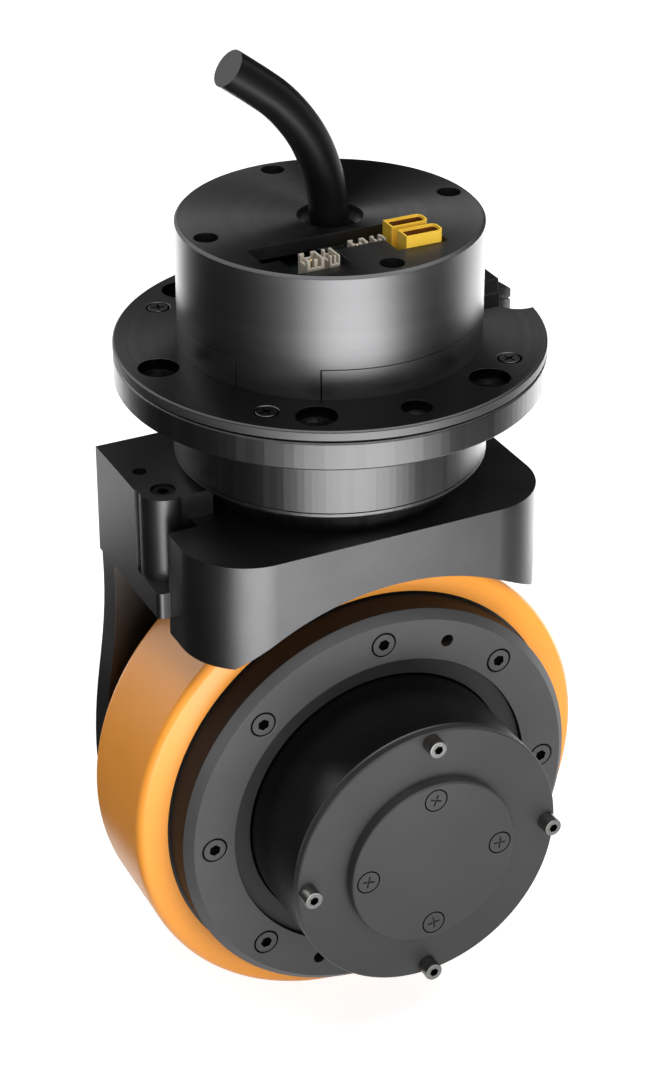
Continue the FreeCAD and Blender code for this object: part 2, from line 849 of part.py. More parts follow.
def make_crossed_bearing():
    outer_face = d.bearing_pitch + d.bearing_gap
    inner_face = d.bearing_pitch - d.bearing_gap
    sub_part("crossed_bearing_outer", turned("bearing_outer_body", [
        (outer_face, collar_bottom),
        (d.outer_ring_radius - d.seat_gap, collar_bottom),
        (d.outer_ring_radius - d.seat_gap, bearing_top),
        (outer_face, bearing_top),
        (outer_face, bearing_middle + d.groove_depth),
        (outer_face + d.groove_depth, bearing_middle),
        (outer_face, bearing_middle - d.groove_depth),
    ]))
    sub_part("crossed_bearing_inner", turned("bearing_inner_body", [
        (d.inner_ring_bore + d.seat_gap, collar_bottom),
        (inner_face, collar_bottom),
        (inner_face, bearing_middle - d.groove_depth),
        (inner_face - d.groove_depth, bearing_middle),
        (inner_face, bearing_middle + d.groove_depth),
        (inner_face, bearing_top),
        (d.inner_ring_bore + d.seat_gap, bearing_top),
    ]))
    rollers = []
    half = d.roller_length / 2
    slant = math.sqrt(0.5)
    for number in range(ROLLER_COUNT):
        degrees = 360.0 * number / ROLLER_COUNT
        lean = ROLLER_LEAN if number % 2 else -ROLLER_LEAN
        outward = half * (slant if lean > 0 else -slant)
        x, y = around(d.bearing_pitch - outward, degrees)
        roller = doc.addObject("Part::Cylinder", f"roller_{number + 1}")
        bind(roller, "Radius", d.roller_radius)
        bind(roller, "Height", d.roller_length)
        turn = FreeCAD.Rotation(FreeCAD.Vector(0, 0, 1), degrees)
        tilt = FreeCAD.Rotation(FreeCAD.Vector(0, 1, 0), lean)
        rollers.append(place(roller, x, y, bearing_middle - half * slant, turn * tilt))
    sub_part("bearing_rollers", together("roller_set", rollers))


def make_hollow_shaft():
    journal_bottom = rotor_bottom
    journal_top = high_bearing_bottom + d.rotor_bearing_width
    head_bottom = roof_bottom - d.shaft_head_thickness
    sub_part("hollow_shaft", turned("shaft_body", [
        (d.shaft_bore, -d.shaft_tail),
        (shaft_radius, -d.shaft_tail),
        (shaft_radius, journal_bottom),
        (d.shaft_journal, journal_bottom),
        (d.shaft_journal, journal_top),
        (shaft_radius, journal_top),
        (shaft_radius, head_bottom),
        (d.shaft_head_radius, head_bottom),
        (d.shaft_head_radius, roof_bottom),
        (d.shaft_bore, roof_bottom),
    ]))


def make_rotor_bearings():
    bearings = []
    for name, bottom in (("low", low_bearing_bottom), ("high", high_bearing_bottom)):
        outer = d.rotor_bearing_radius - d.run_gap
        inner = d.shaft_journal + d.seat_gap
        bearings.append(ring(f"{name}_rotor_bearing", outer, inner, bottom, bottom + d.rotor_bearing_width))
    sub_part("steer_rotor_bearings", together("rotor_bearing_set", bearings))


def wound_stator(name, outer, bore, bottom, length, yoke_wall, slots, tooth_width):
    """Laminated ring with inward teeth, and the coil heads at both ends."""
    core_bottom = bottom + d.coil_height
    core_top = bottom + length - d.coil_height
    solids = [ring(name + "_core", outer, outer - yoke_wall, core_bottom, core_top)]
    coil_outer = outer - d.coil_outer_step
    coil_inner = bore + d.coil_inner_step
    solids.append(ring(name + "_low_coils", coil_outer, coil_inner, bottom, core_bottom))
    solids.append(ring(name + "_high_coils", coil_outer, coil_inner, core_top, core_top + d.coil_height))
    for number in range(slots):
        degrees = 360.0 * number / slots
        tooth = doc.addObject("Part::Box", f"{name}_tooth_{number + 1}")
        bind(tooth, "Length", outer - yoke_wall / 2 - bore)
        bind(tooth, "Width", tooth_width)
        bind(tooth, "Height", core_top - core_bottom)
        x = bore * cosine(degrees) + tooth_width / 2 * sine(degrees)
        y = bore * sine(degrees) - tooth_width / 2 * cosine(degrees)
        turn = FreeCAD.Rotation(FreeCAD.Vector(0, 0, 1), degrees)
        solids.append(place(tooth, x, y, core_bottom, turn))
    return fuse(name, solids)


def make_steer_stator():
    stator = wound_stator("steer_stator_body", d.stator_radius, d.stator_bore, stator_bottom, d.stator_height,
                          d.steer_yoke_wall, STATOR_TEETH, d.tooth_width)
    sub_part("steer_stator", stator)


def make_controller_board():
    radius = d.casing_radius - d.casing_wall - d.board_gap
    disc = cylinder("board_disc", radius, board_bottom, board_top)
    openings = [cylinder("board_hole", d.board_hole, board_bottom, board_top)]
    for number, degrees in enumerate(QUARTER_ANGLES, 1):
        x, y = around(d.casing_screw_circle, degrees)
        bite = d.casing_pillar_radius + d.board_bite
        openings.append(cylinder(f"board_bite_{number}", bite, board_bottom, board_top, x, y))
    sub_part("controller_board", cut("board_cut", disc, openings))


def power_connector(name, left, front):
    """A two-pole connector with an open top and two round contacts."""
    right = left + d.power_length
    back = front + d.power_width
    top = board_top + d.power_height
    floor = top - d.power_recess
    corner = d.power_corner
    body = padded(name + "_body", [
        (left, front),
        (right - corner, front),
        (right, front + corner),
        (right, back - corner),
        (right - corner, back),
        (left, back),
    ], d.power_height)
    place(body, 0, 0, board_top)
    wall = d.power_wall
    recess = box(name + "_recess", left + wall, right - d.power_end_wall, front + wall, back - wall, floor, top)
    shell = cut(name + "_shell", body, [recess])
    middle = front + d.power_width / 2
    blades = []
    for side, share in zip(("left", "right"), CONTACT_SHARES):
        x = left + d.power_length * share
        blades.append(cylinder(f"{name}_{side}_contact", d.blade_radius, floor - d.blade_root, top - d.blade_root,
                               x, middle))
    return fuse(name, [shell] + blades)


def make_power_connectors():
    inner = power_connector("inner_power", d.inner_power_left, d.inner_power_front)
    outer = power_connector("outer_power", d.outer_power_left, d.outer_power_front)
    sub_part("power_connectors", together("power_set", [inner, outer]))


def signal_connector(name, left, length, front, depth, height):
    """A socket with an open top, standing on the board."""
    top = board_top + height
    right = left + length
    back = front + depth
    body = box(name + "_body", left, right, front, back, board_top, top)
    wall = d.signal_wall
    recess = box(name + "_recess", left + wall, right - wall, front + wall, back - wall, top - d.signal_recess, top)
    return cut(name, body, [recess])


def make_signal_connectors():
    small_front = d.slot_front + d.small_signal_place
    sub_part("signal_connectors", together("signal_set", [
        signal_connector("encoder_socket", d.encoder_socket_left, d.encoder_socket_length, d.signal_front,
                         d.signal_depth, d.signal_height),
        signal_connector("bus_socket", d.bus_socket_left, d.bus_socket_length, d.signal_front,
                         d.signal_depth, d.signal_height),
        signal_connector("brake_socket", d.brake_socket_left, d.brake_socket_length, small_front,
                         d.small_signal_depth, d.small_signal_height),
        signal_connector("sensor_socket", d.sensor_socket_left, d.sensor_socket_length, small_front,
                         d.small_signal_depth, d.small_signal_height),
    ]))


def make_sensor_block():
    left = d.casing_radius + d.sensor_gap
    right = left + d.sensor_width
    front = d.sensor_front
    back = front + d.sensor_length
    step = d.sensor_step
    split = cover_top + d.sensor_height / 2
    lower = box("sensor_foot", left, right, front, back, cover_top, split)
    upper = box("sensor_head", left + step, right - step, front + step, back - step, split, cover_top + d.sensor_height)
    sub_part("sensor_block", fuse("sensor_body", [lower, upper]))


def make_steer_rotor():
    sleeve_inner = d.rotor_bearing_radius
    sleeve_outer = sleeve_inner + d.rotor_sleeve_wall
    rotor_top = rotor_bottom + d.rotor_length
    web_bottom = rotor_bottom + d.rotor_web_lift
    web_top = web_bottom + d.rotor_web
    rim_bottom = rotor_bottom + d.rotor_rim_lift
    rim_top = rim_bottom + d.rotor_rim_width
    sub_part("steer_rotor_hub", turned("rotor_hub_body", [
        (sleeve_inner, rotor_bottom),
        (sleeve_outer, rotor_bottom),
        (sleeve_outer, web_bottom),
        (d.rotor_rim_inner, web_bottom),
        (d.rotor_rim_inner, rim_bottom),
        (d.rotor_rim_outer, rim_bottom),
        (d.rotor_rim_outer, rim_top),
        (d.rotor_rim_inner, rim_top),
        (d.rotor_rim_inner, web_top),
        (sleeve_outer, web_top),
        (sleeve_outer, rotor_top),
        (sleeve_inner, rotor_top),
    ]))
    inner = d.rotor_rim_outer + d.seat_gap
    magnets = magnet_ring("steer_magnet", inner, inner + d.steer_magnet_thickness,
                          rim_bottom + d.magnet_inset, rim_top - d.magnet_inset, STEER_MAGNETS)
    sub_part("steer_magnets", magnets)


def magnet_ring(name, inner, outer, bottom, top, count):
    pitch = 360.0 / count
    magnets = [sector(f"{name}_{number + 1}", outer, inner, bottom, top, pitch * number, pitch - MAGNET_GAP_ANGLE)
               for number in range(count)]
    return together(name + "_set", magnets)


def tooth_half_angle(radius, teeth, module, thinning):
    """Half the angle that an involute tooth takes at a radius."""
    pitch_radius = module * teeth / 2
    base_radius = pitch_radius * math.cos(math.radians(PRESSURE_ANGLE))
    slope = math.acos(min(1.0, base_radius / max(radius, base_radius)))
    roll = math.tan(slope) - slope
    pitch_slope = math.radians(PRESSURE_ANGLE)
    pitch_roll = math.tan(pitch_slope) - pitch_slope
    return math.pi / (2 * teeth) - thinning / (2 * pitch_radius) + pitch_roll - roll


def toothed_face(teeth, module, root_radius, tip_radius, thinning, start):
    """The face inside a ring of teeth, with one tooth centred on the start angle."""
    base_radius = module * teeth / 2 * math.cos(math.radians(PRESSURE_ANGLE))
    low = max(root_radius, base_radius)
    radii = [root_radius] if low > root_radius + 0.05 else []
    radii += [low, (low + tip_radius) / 2, tip_radius]
    points = []
    for number in range(teeth):
        centre = math.radians(start) + 2 * math.pi * number / teeth
        flank = [(radius, tooth_half_angle(radius, teeth, module, thinning)) for radius in radii]
        rising = [(radius, centre - half) for radius, half in flank]
        falling = [(radius, centre + half) for radius, half in reversed(flank)]
        points += [FreeCAD.Vector(r * math.cos(a), r * math.sin(a), 0) for r, a in rising + falling]
    points.append(points[0])
    return Part.Face(Part.makePolygon(points))


def raised(face, bottom, top):
    lifted = face.copy()
    lifted.translate(FreeCAD.Vector(0, 0, bottom))
    return lifted.extrude(FreeCAD.Vector(0, 0, top - bottom))


def cell(dim):
    """The number that the sheet's formula gives."""
    return dim.value


def gear_item(name, shape):
    item = doc.addObject("Part::Feature", name)
    item.Shape = shape
    return item


def external_gear(name, teeth, bottom, top, bore, start):
    module = sheet.gear_module
    pitch_radius = module * teeth / 2
    face = toothed_face(teeth, module, pitch_radius - TOOTH_ROOT * module, pitch_radius + TOOTH_TIP * module,
                        sheet.tooth_thinning, start)
    blank = raised(face, cell(bottom), cell(top))
    hole = Part.makeCylinder(cell(bore), cell(top) - cell(bottom), FreeCAD.Vector(0, 0, cell(bottom)))
    return gear_item(name, blank.cut(hole))


def ring_gear(name, teeth, bottom, top, outer, start):
    module = sheet.gear_module
    pitch_radius = module * teeth / 2
    face = toothed_face(teeth, module, pitch_radius - TOOTH_TIP * module, pitch_radius + TOOTH_ROOT * module,
                        -sheet.tooth_thinning, start)
    blank = Part.makeCylinder(cell(outer), cell(top) - cell(bottom), FreeCAD.Vector(0, 0, cell(bottom)))
    return gear_item(name, blank.cut(raised(face, cell(bottom), cell(top))))


def planet_start(degrees, sun_teeth, planet_teeth):
    """The angle of a planet's tooth that meshes with a sun whose tooth lies on +X."""
    step = 360.0 / planet_teeth
    phase = degrees * sun_teeth / 360.0
    return degrees + 180.0 - (0.5 - phase) * step


def ring_start(degrees, start, planet_teeth, ring_teeth):
    """The angle of a ring's tooth space that takes the planet's tooth."""
    phase = (degrees - start) * planet_teeth / 360.0
    return degrees - phase * 360.0 / ring_teeth


def steer_centre():
    return d.gear_module * ((STEER_SUN_TEETH + STEER_PLANET_TEETH) / 2)


def drive_centre():
    return d.gear_module * ((DRIVE_SUN_TEETH + DRIVE_PLANET_TEETH) / 2)


def make_steer_gears():
    sun_teeth_top = planet_top + d.sun_standout
    teeth = external_gear("steer_sun_teeth", STEER_SUN_TEETH, planet_bottom, sun_teeth_top, d.sun_bore, 0.0)
    collar = ring("steer_sun_collar", d.sun_collar, d.sun_bore, sun_teeth_top, rotor_bottom)
    sub_part("steer_sun_gear", fuse("steer_sun", [teeth, collar]))
    bore = d.steer_pin_radius + d.planet_play
    for number, degrees in enumerate(PLANET_ANGLES, 1):
        start = planet_start(degrees, STEER_SUN_TEETH, STEER_PLANET_TEETH)
        gear = external_gear(f"steer_planet_gear_{number}", STEER_PLANET_TEETH, planet_bottom, planet_top, bore, start)
        x, y = around(steer_centre(), degrees)
        place(gear, x, y)
        sub_part(f"steer_planet_{number}", gear)
    first = planet_start(0.0, STEER_SUN_TEETH, STEER_PLANET_TEETH)
    start = ring_start(0.0, first, STEER_PLANET_TEETH, STEER_RING_TEETH)
    outer = d.steer_ring_radius - d.seat_gap
    sub_part("steer_ring_gear", ring_gear("steer_ring", STEER_RING_TEETH, steer_ring_bottom, cover_bottom, outer, start))


def make_planet_carrier():
    disc = ring("carrier_disc", d.carrier_radius, d.output_bore, bearing_top, carrier_top)
    holes = []
    pins = []
    for number, degrees in enumerate(PLANET_ANGLES, 1):
        x, y = around(steer_centre(), degrees)
        holes.append(cylinder(f"carrier_hole_{number}", d.steer_pin_radius + d.seat_gap, bearing_top, carrier_top, x, y))
        pin_top = planet_top + d.pin_standout
        pins.append(cylinder(f"steer_pin_{number}", d.steer_pin_radius, bearing_top, pin_top, x, y))
    sub_part("planet_carrier", cut("carrier_cut", disc, holes))
    sub_part("steer_planet_pins", together("steer_pin_set", pins))


def make_output_flange():
    body = turned("output_body", [
        (d.output_bore, yoke_seat),
        (d.output_foot_radius, yoke_seat),
        (d.output_radius, output_top),
        (d.output_shoulder, output_top),
        (d.output_shoulder, collar_bottom),
        (d.inner_ring_bore, collar_bottom),
        (d.inner_ring_bore, bearing_top),
        (d.output_bore, bearing_top),
    ])
    holes = [cylinder(f"output_thread_{number}", d.yoke_shank + d.seat_gap, yoke_seat, flange_screw_end(), x, y)
             for number, (x, y) in enumerate(flange_screw_places(), 1)]
    sub_part("output_flange", cut("output_cut", body, holes))


def flange_screw_places():
    """Where the screws rise through the yoke into the output flange."""
    places = [around(d.flange_screw_circle, degrees) for degrees in FLANGE_SCREW_ANGLES]
    rear_x = d.flange_screw_circle + d.rear_rise_spread
    rear_y = d.yoke_seam + d.rear_rise_step
    return places + [(rear_x, rear_y), (-rear_x, rear_y)]


def flange_screw_seat():
    return yoke_seat - d.flange_screw_seat


def flange_screw_end():
    return flange_screw_seat() + d.flange_screw_length


def along_axle(name, radius, front, back, x=0, drop=0):
    """A round tool whose axis runs along Y, from the back to the front."""
    item = doc.addObject("Part::Cylinder", name)
    bind(item, "Radius", radius)
    bind(item, "Height", as_dim(back) - front)
    return place(item, x, back, -as_dim(drop), WHEEL_TURN)


def ear_solids(name, grow):
    """The ear of the bridge in plan, or with grow the recess that takes it."""
    ear_bottom = yoke_top - d.ear_depth - grow
    side = -d.arm_side
    inner = d.ear_inner + grow
    blend = d.ear_blend
    solids = [
        box(name + "_side", side, inner, d.ear_side_front, d.dowel_place_y, ear_bottom, yoke_top),
        cylinder(name + "_dowel_round", d.dowel_boss + grow, ear_bottom, yoke_top, d.dowel_place_x, d.dowel_place_y),
        box(name + "_neck", d.boss_place_x, d.ear_neck_end, d.ear_neck_front, d.ear_neck_back + grow, ear_bottom, yoke_top),
        cylinder(name + "_boss", d.boss_radius + grow, ledge_level, yoke_top, d.boss_place_x, d.boss_place_y),
        box(name + "_web", d.boss_place_x, d.bridge_step_x, d.boss_place_y - 3, d.boss_place_y + 3, ledge_level, yoke_top),
    ]
    corner = box(name + "_blend_corner", inner, inner + blend, d.ear_neck_back + grow,
                 d.ear_neck_back + grow + blend, ear_bottom, yoke_top)
    round_off = cylinder(name + "_blend_round", blend, ear_bottom, yoke_top, inner + blend,
                         d.ear_neck_back + grow + blend)
    solids.append(cut(name + "_blend", corner, [round_off]))
    return solids


def output_pocket(name):
    return cylinder(name, d.pocket_radius, yoke_seat, yoke_top + 1)


def screw_tools(name, for_bridge):
    """Holes of the screws and dowels in one of the yoke's two parts."""
    tools = []
    seat = flange_screw_seat()
    for number, (x, y) in enumerate(flange_screw_places(), 1):
        if (y.value < d.yoke_seam.value) != for_bridge:
            continue
        tools.append(cylinder(f"{name}_rise_{number}", d.yoke_shank + d.screw_gap, seat, yoke_seat, x, y))
        tools.append(cylinder(f"{name}_rise_head_{number}", d.yoke_head_radius + d.yoke_head_room,
                              bridge_bottom, seat, x, y))
    drop = d.rear_screw_drop - yoke_top
    floor = d.arm_back - d.yoke_head_depth
    for number, x in enumerate((d.rear_screw_x, -d.rear_screw_x), 1):
        hole = d.yoke_shank + d.seat_gap
        end = floor - d.rear_screw_length
        tools.append(along_axle(f"{name}_level_{number}", hole, end, floor, x, drop))
        if not for_bridge:
            sink = d.yoke_head_radius + d.yoke_head_room
            tools.append(along_axle(f"{name}_level_head_{number}", sink, floor, d.arm_back, x, drop))
    half = d.dowel_length / 3
    tools.append(along_axle(f"{name}_level_dowel", d.dowel_radius + d.seat_gap, d.yoke_seam - half,
                            d.yoke_seam + half, 0, drop))
    return tools


def make_yoke_bridge():
    block = padded("bridge_block", [
        (d.bridge_left, d.bridge_front),
        (d.bridge_right, d.bridge_front),
        (d.bridge_right, d.yoke_seam),
        (d.bridge_step_x, d.yoke_seam),
        (d.bridge_step_x, d.bridge_step_y),
        (d.bridge_left, d.bridge_step_y),
    ], d.bridge_height)
    filleted(block, d.bridge_corner, lambda edge: is_upright_at(edge, d.bridge_left, d.bridge_front)
             or is_upright_at(edge, d.bridge_right, d.bridge_front))
    place(block, 0, 0, bridge_bottom)
    arch_start = d.bridge_front - d.cut_margin
    arch_end = d.yoke_seam + d.cut_margin
    arched = cut("bridge_arched", block, [
        along_axle("bridge_arch", arch_radius, arch_start, arch_end, 0, axle_drop),
    ])
    ear = fuse("bridge_ear_solids", ear_solids("ear", 0))
    whole = fuse("bridge_whole", [arched, ear])
    x, y = d.boss_place_x, d.boss_place_y
    seat = yoke_top - d.yoke_head_depth
    tools = screw_tools("bridge", True)
    tools.append(output_pocket("bridge_pocket"))
    tools.append(cylinder("ear_screw_sink", d.yoke_head_radius + d.yoke_head_room, seat, yoke_top, x, y))
    tools.append(cylinder("ear_screw_hole", d.yoke_shank + d.screw_gap, ledge_level, seat, x, y))
    tools.append(cylinder("ear_dowel_hole", d.dowel_radius + d.seat_gap, yoke_top - d.ear_depth, yoke_top,
                          d.dowel_place_x, d.dowel_place_y))
    sub_part("yoke_bridge", cut("bridge_cut", whole, tools))


def arm_plate():
    """The rear plate: straight sides that swell into a round about the axle."""
    top = cell(yoke_top)
    side = cell(d.arm_side)
    waist = cell(d.arm_waist)
    waist_level = top - cell(d.arm_waist_drop)
    axle = -cell(axle_drop)
    swell = cell(d.arm_round)
    bend = cell(d.arm_bend)
    back = cell(d.arm_back)

    def at(x, z):
        return FreeCAD.Vector(x, back, z)

    edges = []
    for hand in (-1, 1):
        edges.append(Part.LineSegment(at(hand * side, top), at(hand * waist, waist_level)).toShape())
        curve = Part.BezierCurve()
        curve.setPoles([at(hand * waist, waist_level), at(hand * waist, waist_level - bend),
                        at(hand * swell, axle + bend), at(hand * swell, axle)])
        edges.append(curve.toShape())
    edges.append(Part.Arc(at(-swell, axle), at(0, axle - swell), at(swell, axle)).toShape())
    edges.append(Part.LineSegment(at(-side, top), at(side, top)).toShape())
    face = Part.Face(Part.Wire(Part.__sortEdges__(edges)))
    return gear_item("arm_plate", face.extrude(FreeCAD.Vector(0, -cell(d.arm_thickness), 0)))


def make_yoke_arm():
    side = d.arm_side
    block = box("arm_block", -side, side, d.yoke_seam, d.arm_back, arm_block_bottom, yoke_top)
    low_cheek = padded("arm_low_cheek", [
        (-side, d.cheek_front),
        (d.bridge_step_x, d.cheek_front),
        (d.bridge_step_x, d.yoke_seam),
        (-side, d.yoke_seam),
    ], ledge_level - arm_block_bottom)
    filleted(low_cheek, d.cheek_corner, lambda edge: is_upright_at(edge, -side, d.cheek_front))
    place(low_cheek, 0, 0, arm_block_bottom)
    corner = box("arm_bridge_corner", d.bridge_left, d.bridge_step_x, d.cheek_front, d.bridge_step_y,
                 arm_block_bottom, ledge_level)
    cheek = cut("arm_cheek", low_cheek, [corner])
    solids = [
        block,
        cheek,
        box("arm_high_cheek", -side, d.bridge_step_x, d.ear_side_front, d.yoke_seam, ledge_level, yoke_top),
        box("arm_shelf", d.bridge_step_x, d.ear_neck_end, d.ear_neck_back, d.yoke_seam, yoke_seat, yoke_top),
        arm_plate(),
    ]
    tools = screw_tools("arm", False)
    tools += ear_solids("recess", d.seat_gap)
    tools.append(output_pocket("arm_pocket"))
    tools.append(along_axle("arm_arch", arch_radius, d.cheek_front - d.cut_margin, -arm_front, 0, axle_drop))
    tools.append(along_axle("arm_bore", d.carrier_spigot, -arm_front - d.cut_margin, d.arm_back, 0, axle_drop))
    x, y = d.boss_place_x, d.boss_place_y
    shank_end = yoke_top - d.yoke_head_depth - d.ear_screw_length
    tools.append(cylinder("arm_screw_thread", d.yoke_shank + d.seat_gap, shank_end, ledge_level, x, y))
    tools.append(cylinder("arm_dowel_hole", d.dowel_radius + d.seat_gap, yoke_top - d.dowel_cover - d.dowel_length,
                          yoke_top, d.dowel_place_x, d.dowel_place_y))
    for number, degrees in enumerate(CARRIER_BOLT_ANGLES, 1):
        x, y = around(d.carrier_bolt_circle, degrees)
        floor = d.arm_back - d.bolt_head_depth
        drop = axle_drop - y
        hole = d.bolt_shank + d.screw_gap
        sink = d.bolt_head_radius + d.bolt_head_room
        tools.append(along_axle(f"arm_bolt_hole_{number}", hole, -arm_front, floor, x, drop))
        tools.append(along_axle(f"arm_bolt_sink_{number}", sink, floor, d.arm_back, x, drop))
    sub_part("yoke_arm", cut("arm_cut", fuse("arm_solids", solids), tools))


def make_yoke_fasteners():
    x, y = d.boss_place_x, d.boss_place_y
    seat = yoke_top - d.yoke_head_depth
    head, height, shank = d.yoke_head_radius, d.yoke_head_height, d.yoke_shank
    screws = [cap_screw("ear_screw", seat, x, y, head, height, shank, d.ear_screw_length, socket=True)]
    for number, (x, y) in enumerate(flange_screw_places(), 1):
        screws.append(cap_screw(f"rise_screw_{number}", flange_screw_seat(), x, y, head, height, shank,
                                d.flange_screw_length, head_up=False))
    drop = d.rear_screw_drop - yoke_top
    floor = d.arm_back - d.yoke_head_depth
    for number, x in enumerate((d.rear_screw_x, -d.rear_screw_x), 1):
        screws.append(fuse(f"level_screw_{number}", [
            along_axle(f"level_shank_{number}", shank, floor - d.rear_screw_length, floor, x, drop),
            along_axle(f"level_head_{number}", head, floor, floor + height, x, drop),
        ]))
    sub_part("yoke_screws", together("yoke_screw_set", screws))
    top = yoke_top - d.dowel_cover
    half = d.dowel_length / 3
    dowels = [
        cylinder("ear_dowel", d.dowel_radius, top - d.dowel_length, top, d.dowel_place_x, d.dowel_place_y),
        along_axle("level_dowel", d.dowel_radius, d.yoke_seam - half, d.yoke_seam + half, 0, drop),
    ]
    sub_part("yoke_dowels", together("yoke_dowel_set", dowels))


def make_motor_housing():
    radius = d.motor_radius
    bore = radius - d.motor_wall
    collar_back = front_bearing_front
    collar_front = collar_back + d.motor_collar_width
    edge = d.cap_edge
    seat = d.drive_bearing_radius + d.seat_gap
    shell = turned("motor_shell", [
        (bore, drive_gear_front),
        (radius, drive_gear_front),
        (radius, collar_back),
        (radius + d.motor_collar, collar_back),
        (radius + d.motor_collar, collar_front),
        (radius, collar_front),
        (radius, d.motor_standout - edge),
        (radius - edge, d.motor_standout),
        (bore, d.motor_standout),
        (bore, motor_floor_front),
        (seat, motor_floor_front),
        (seat, motor_floor_back),
        (bore, motor_floor_back),
    ])
    solids = [shell]
    holes = []
    for number, degrees in enumerate(QUARTER_ANGLES, 1):
        x, y = around(d.cap_screw_circle, degrees)
        lug_back = d.motor_standout - d.cap_lug_length
        lug = cylinder(f"cap_lug_{number}", d.cap_lug_radius, lug_back, d.motor_standout, x, y)
        keep = cylinder(f"cap_lug_limit_{number}", radius - edge, lug_back, d.motor_standout)
        common = doc.addObject("Part::MultiCommon", f"cap_lug_trimmed_{number}")
        common.Shapes = [lug, keep]
        solids.append(common)
        hole = d.small_shank + d.seat_gap
        end = cap_face - d.cap_screw_length
        holes.append(cylinder(f"cap_thread_{number}", hole, end, d.motor_standout, x, y))
    for number, degrees in enumerate(POST_ANGLES, 1):
        x, y = around(d.post_circle, degrees)
        hole = d.yoke_shank + d.screw_gap
        holes.append(cylinder(f"post_hole_{number}", hole, motor_floor_back, motor_floor_front, x, y))
    sub_part("motor_housing", cut("motor_cut", fuse("motor_solids", solids), holes), True)


def make_motor_cap():
    edge = d.cap_edge
    seat = d.drive_bearing_radius + d.seat_gap
    boss_back = d.motor_standout - d.cap_boss_length
    disc = turned("cap_disc", [
        (d.cap_bore, cap_face),
        (d.cap_bore, boss_back + d.drive_bearing_width),
        (seat, boss_back + d.drive_bearing_width),
        (seat, boss_back),
        (d.cap_boss, boss_back),
        (d.cap_boss, d.motor_standout),
        (d.motor_radius - edge, d.motor_standout),
        (d.motor_radius, d.motor_standout + edge),
        (d.motor_radius, cap_face - edge),
        (d.motor_radius - edge, cap_face),
    ])
    holes = []
    screws = []
    for number, degrees in enumerate(QUARTER_ANGLES, 1):
        x, y = around(d.cap_screw_circle, degrees)
        hole = d.small_shank + d.cap_hole_gap
        holes.append(cylinder(f"cap_hole_{number}", hole, d.motor_standout, cap_face, x, y))
        screws.append(cap_screw(f"cap_screw_{number}", cap_face, x, y, d.small_head_radius, d.cap_head_height,
                                d.small_shank, d.cap_screw_length, socket=True))
        x, y = around(d.encoder_screw_circle, degrees)
        hole = d.encoder_screw_shank + d.seat_gap
        holes.append(cylinder(f"cap_encoder_thread_{number}", hole, d.motor_standout, cap_face, x, y))
    sub_part("motor_cap", cut("cap_cut", disc, holes), True)
    sub_part("cap_screws", together("cap_screw_set", screws), True)


def make_encoder_cover():
    edge = d.cap_edge
    disc = turned("encoder_disc", [
        (0, encoder_face),
        (0, encoder_face - d.encoder_roof),
        (d.encoder_pocket, encoder_face - d.encoder_roof),
        (d.encoder_pocket, cap_face),
        (d.encoder_radius, cap_face),
        (d.encoder_radius, encoder_face - edge),
        (d.encoder_radius - edge, encoder_face),
    ])
    tools = []
    screws = []
    for number, degrees in enumerate(QUARTER_ANGLES, 1):
        x, y = around(d.encoder_screw_circle, degrees)
        hole = d.encoder_screw_shank + d.seat_gap
        tools += countersunk_hole(f"encoder_{number}", encoder_face, x, y, d.encoder_head_radius, hole,
                                  d.encoder_thickness)
        screws.append(countersunk_screw(f"encoder_screw_{number}", encoder_face, x, y, d.encoder_head_radius,
                                        d.encoder_screw_shank, d.encoder_screw_length))
    sub_part("encoder_cover", cut("encoder_cut", disc, tools), True)
    sub_part("encoder_cover_screws", together("encoder_screw_set", screws), True)


def make_drive_motor():
    back = d.drive_stator_front - d.drive_stator_length
    stator = wound_stator("drive_stator_body", d.drive_stator_radius, d.drive_stator_bore, back,
                          d.drive_stator_length, d.drive_yoke_wall, STATOR_TEETH, d.tooth_width)
    sub_part("drive_stator", stator, True)
    core_back = back + d.drive_core_inset
    core_front = d.drive_stator_front - d.drive_core_inset
    web_back = core_back + d.drive_web_lift
    web_front = web_back + d.drive_core_web
    inner = d.drive_core_radius - d.drive_core_wall
    shaft_end = d.motor_standout - d.shaft_end_gap
    shaft_start = drive_gear_back + d.drive_gear_inset
    sub_part("drive_rotor", turned("drive_rotor_body", [
        (0, shaft_start),
        (d.drive_shaft_radius, shaft_start),
        (d.drive_shaft_radius, web_back),
        (inner, web_back),
        (inner, core_back),
        (d.drive_core_radius, core_back),
        (d.drive_core_radius, core_front),
        (inner, core_front),
        (inner, web_front),
        (d.drive_shaft_radius, web_front),
        (d.drive_shaft_radius, shaft_end),
        (0, shaft_end),
    ]), True)
    magnet_inner = d.drive_core_radius + d.seat_gap
    magnets = magnet_ring("drive_magnet", magnet_inner, magnet_inner + d.drive_magnet_thickness,
                          core_back + d.magnet_inset, core_front - d.magnet_inset, DRIVE_MAGNETS)
    sub_part("drive_magnets", magnets, True)
    boss_back = d.motor_standout - d.cap_boss_length
    bearings = []
    for name, start in (("floor", motor_floor_back), ("cap", boss_back)):
        bearings.append(ring(f"{name}_bearing", d.drive_bearing_radius, d.drive_shaft_radius + d.run_gap,
                             start, start + d.drive_bearing_width))
    sub_part("drive_shaft_bearings", together("drive_bearing_set", bearings), True)


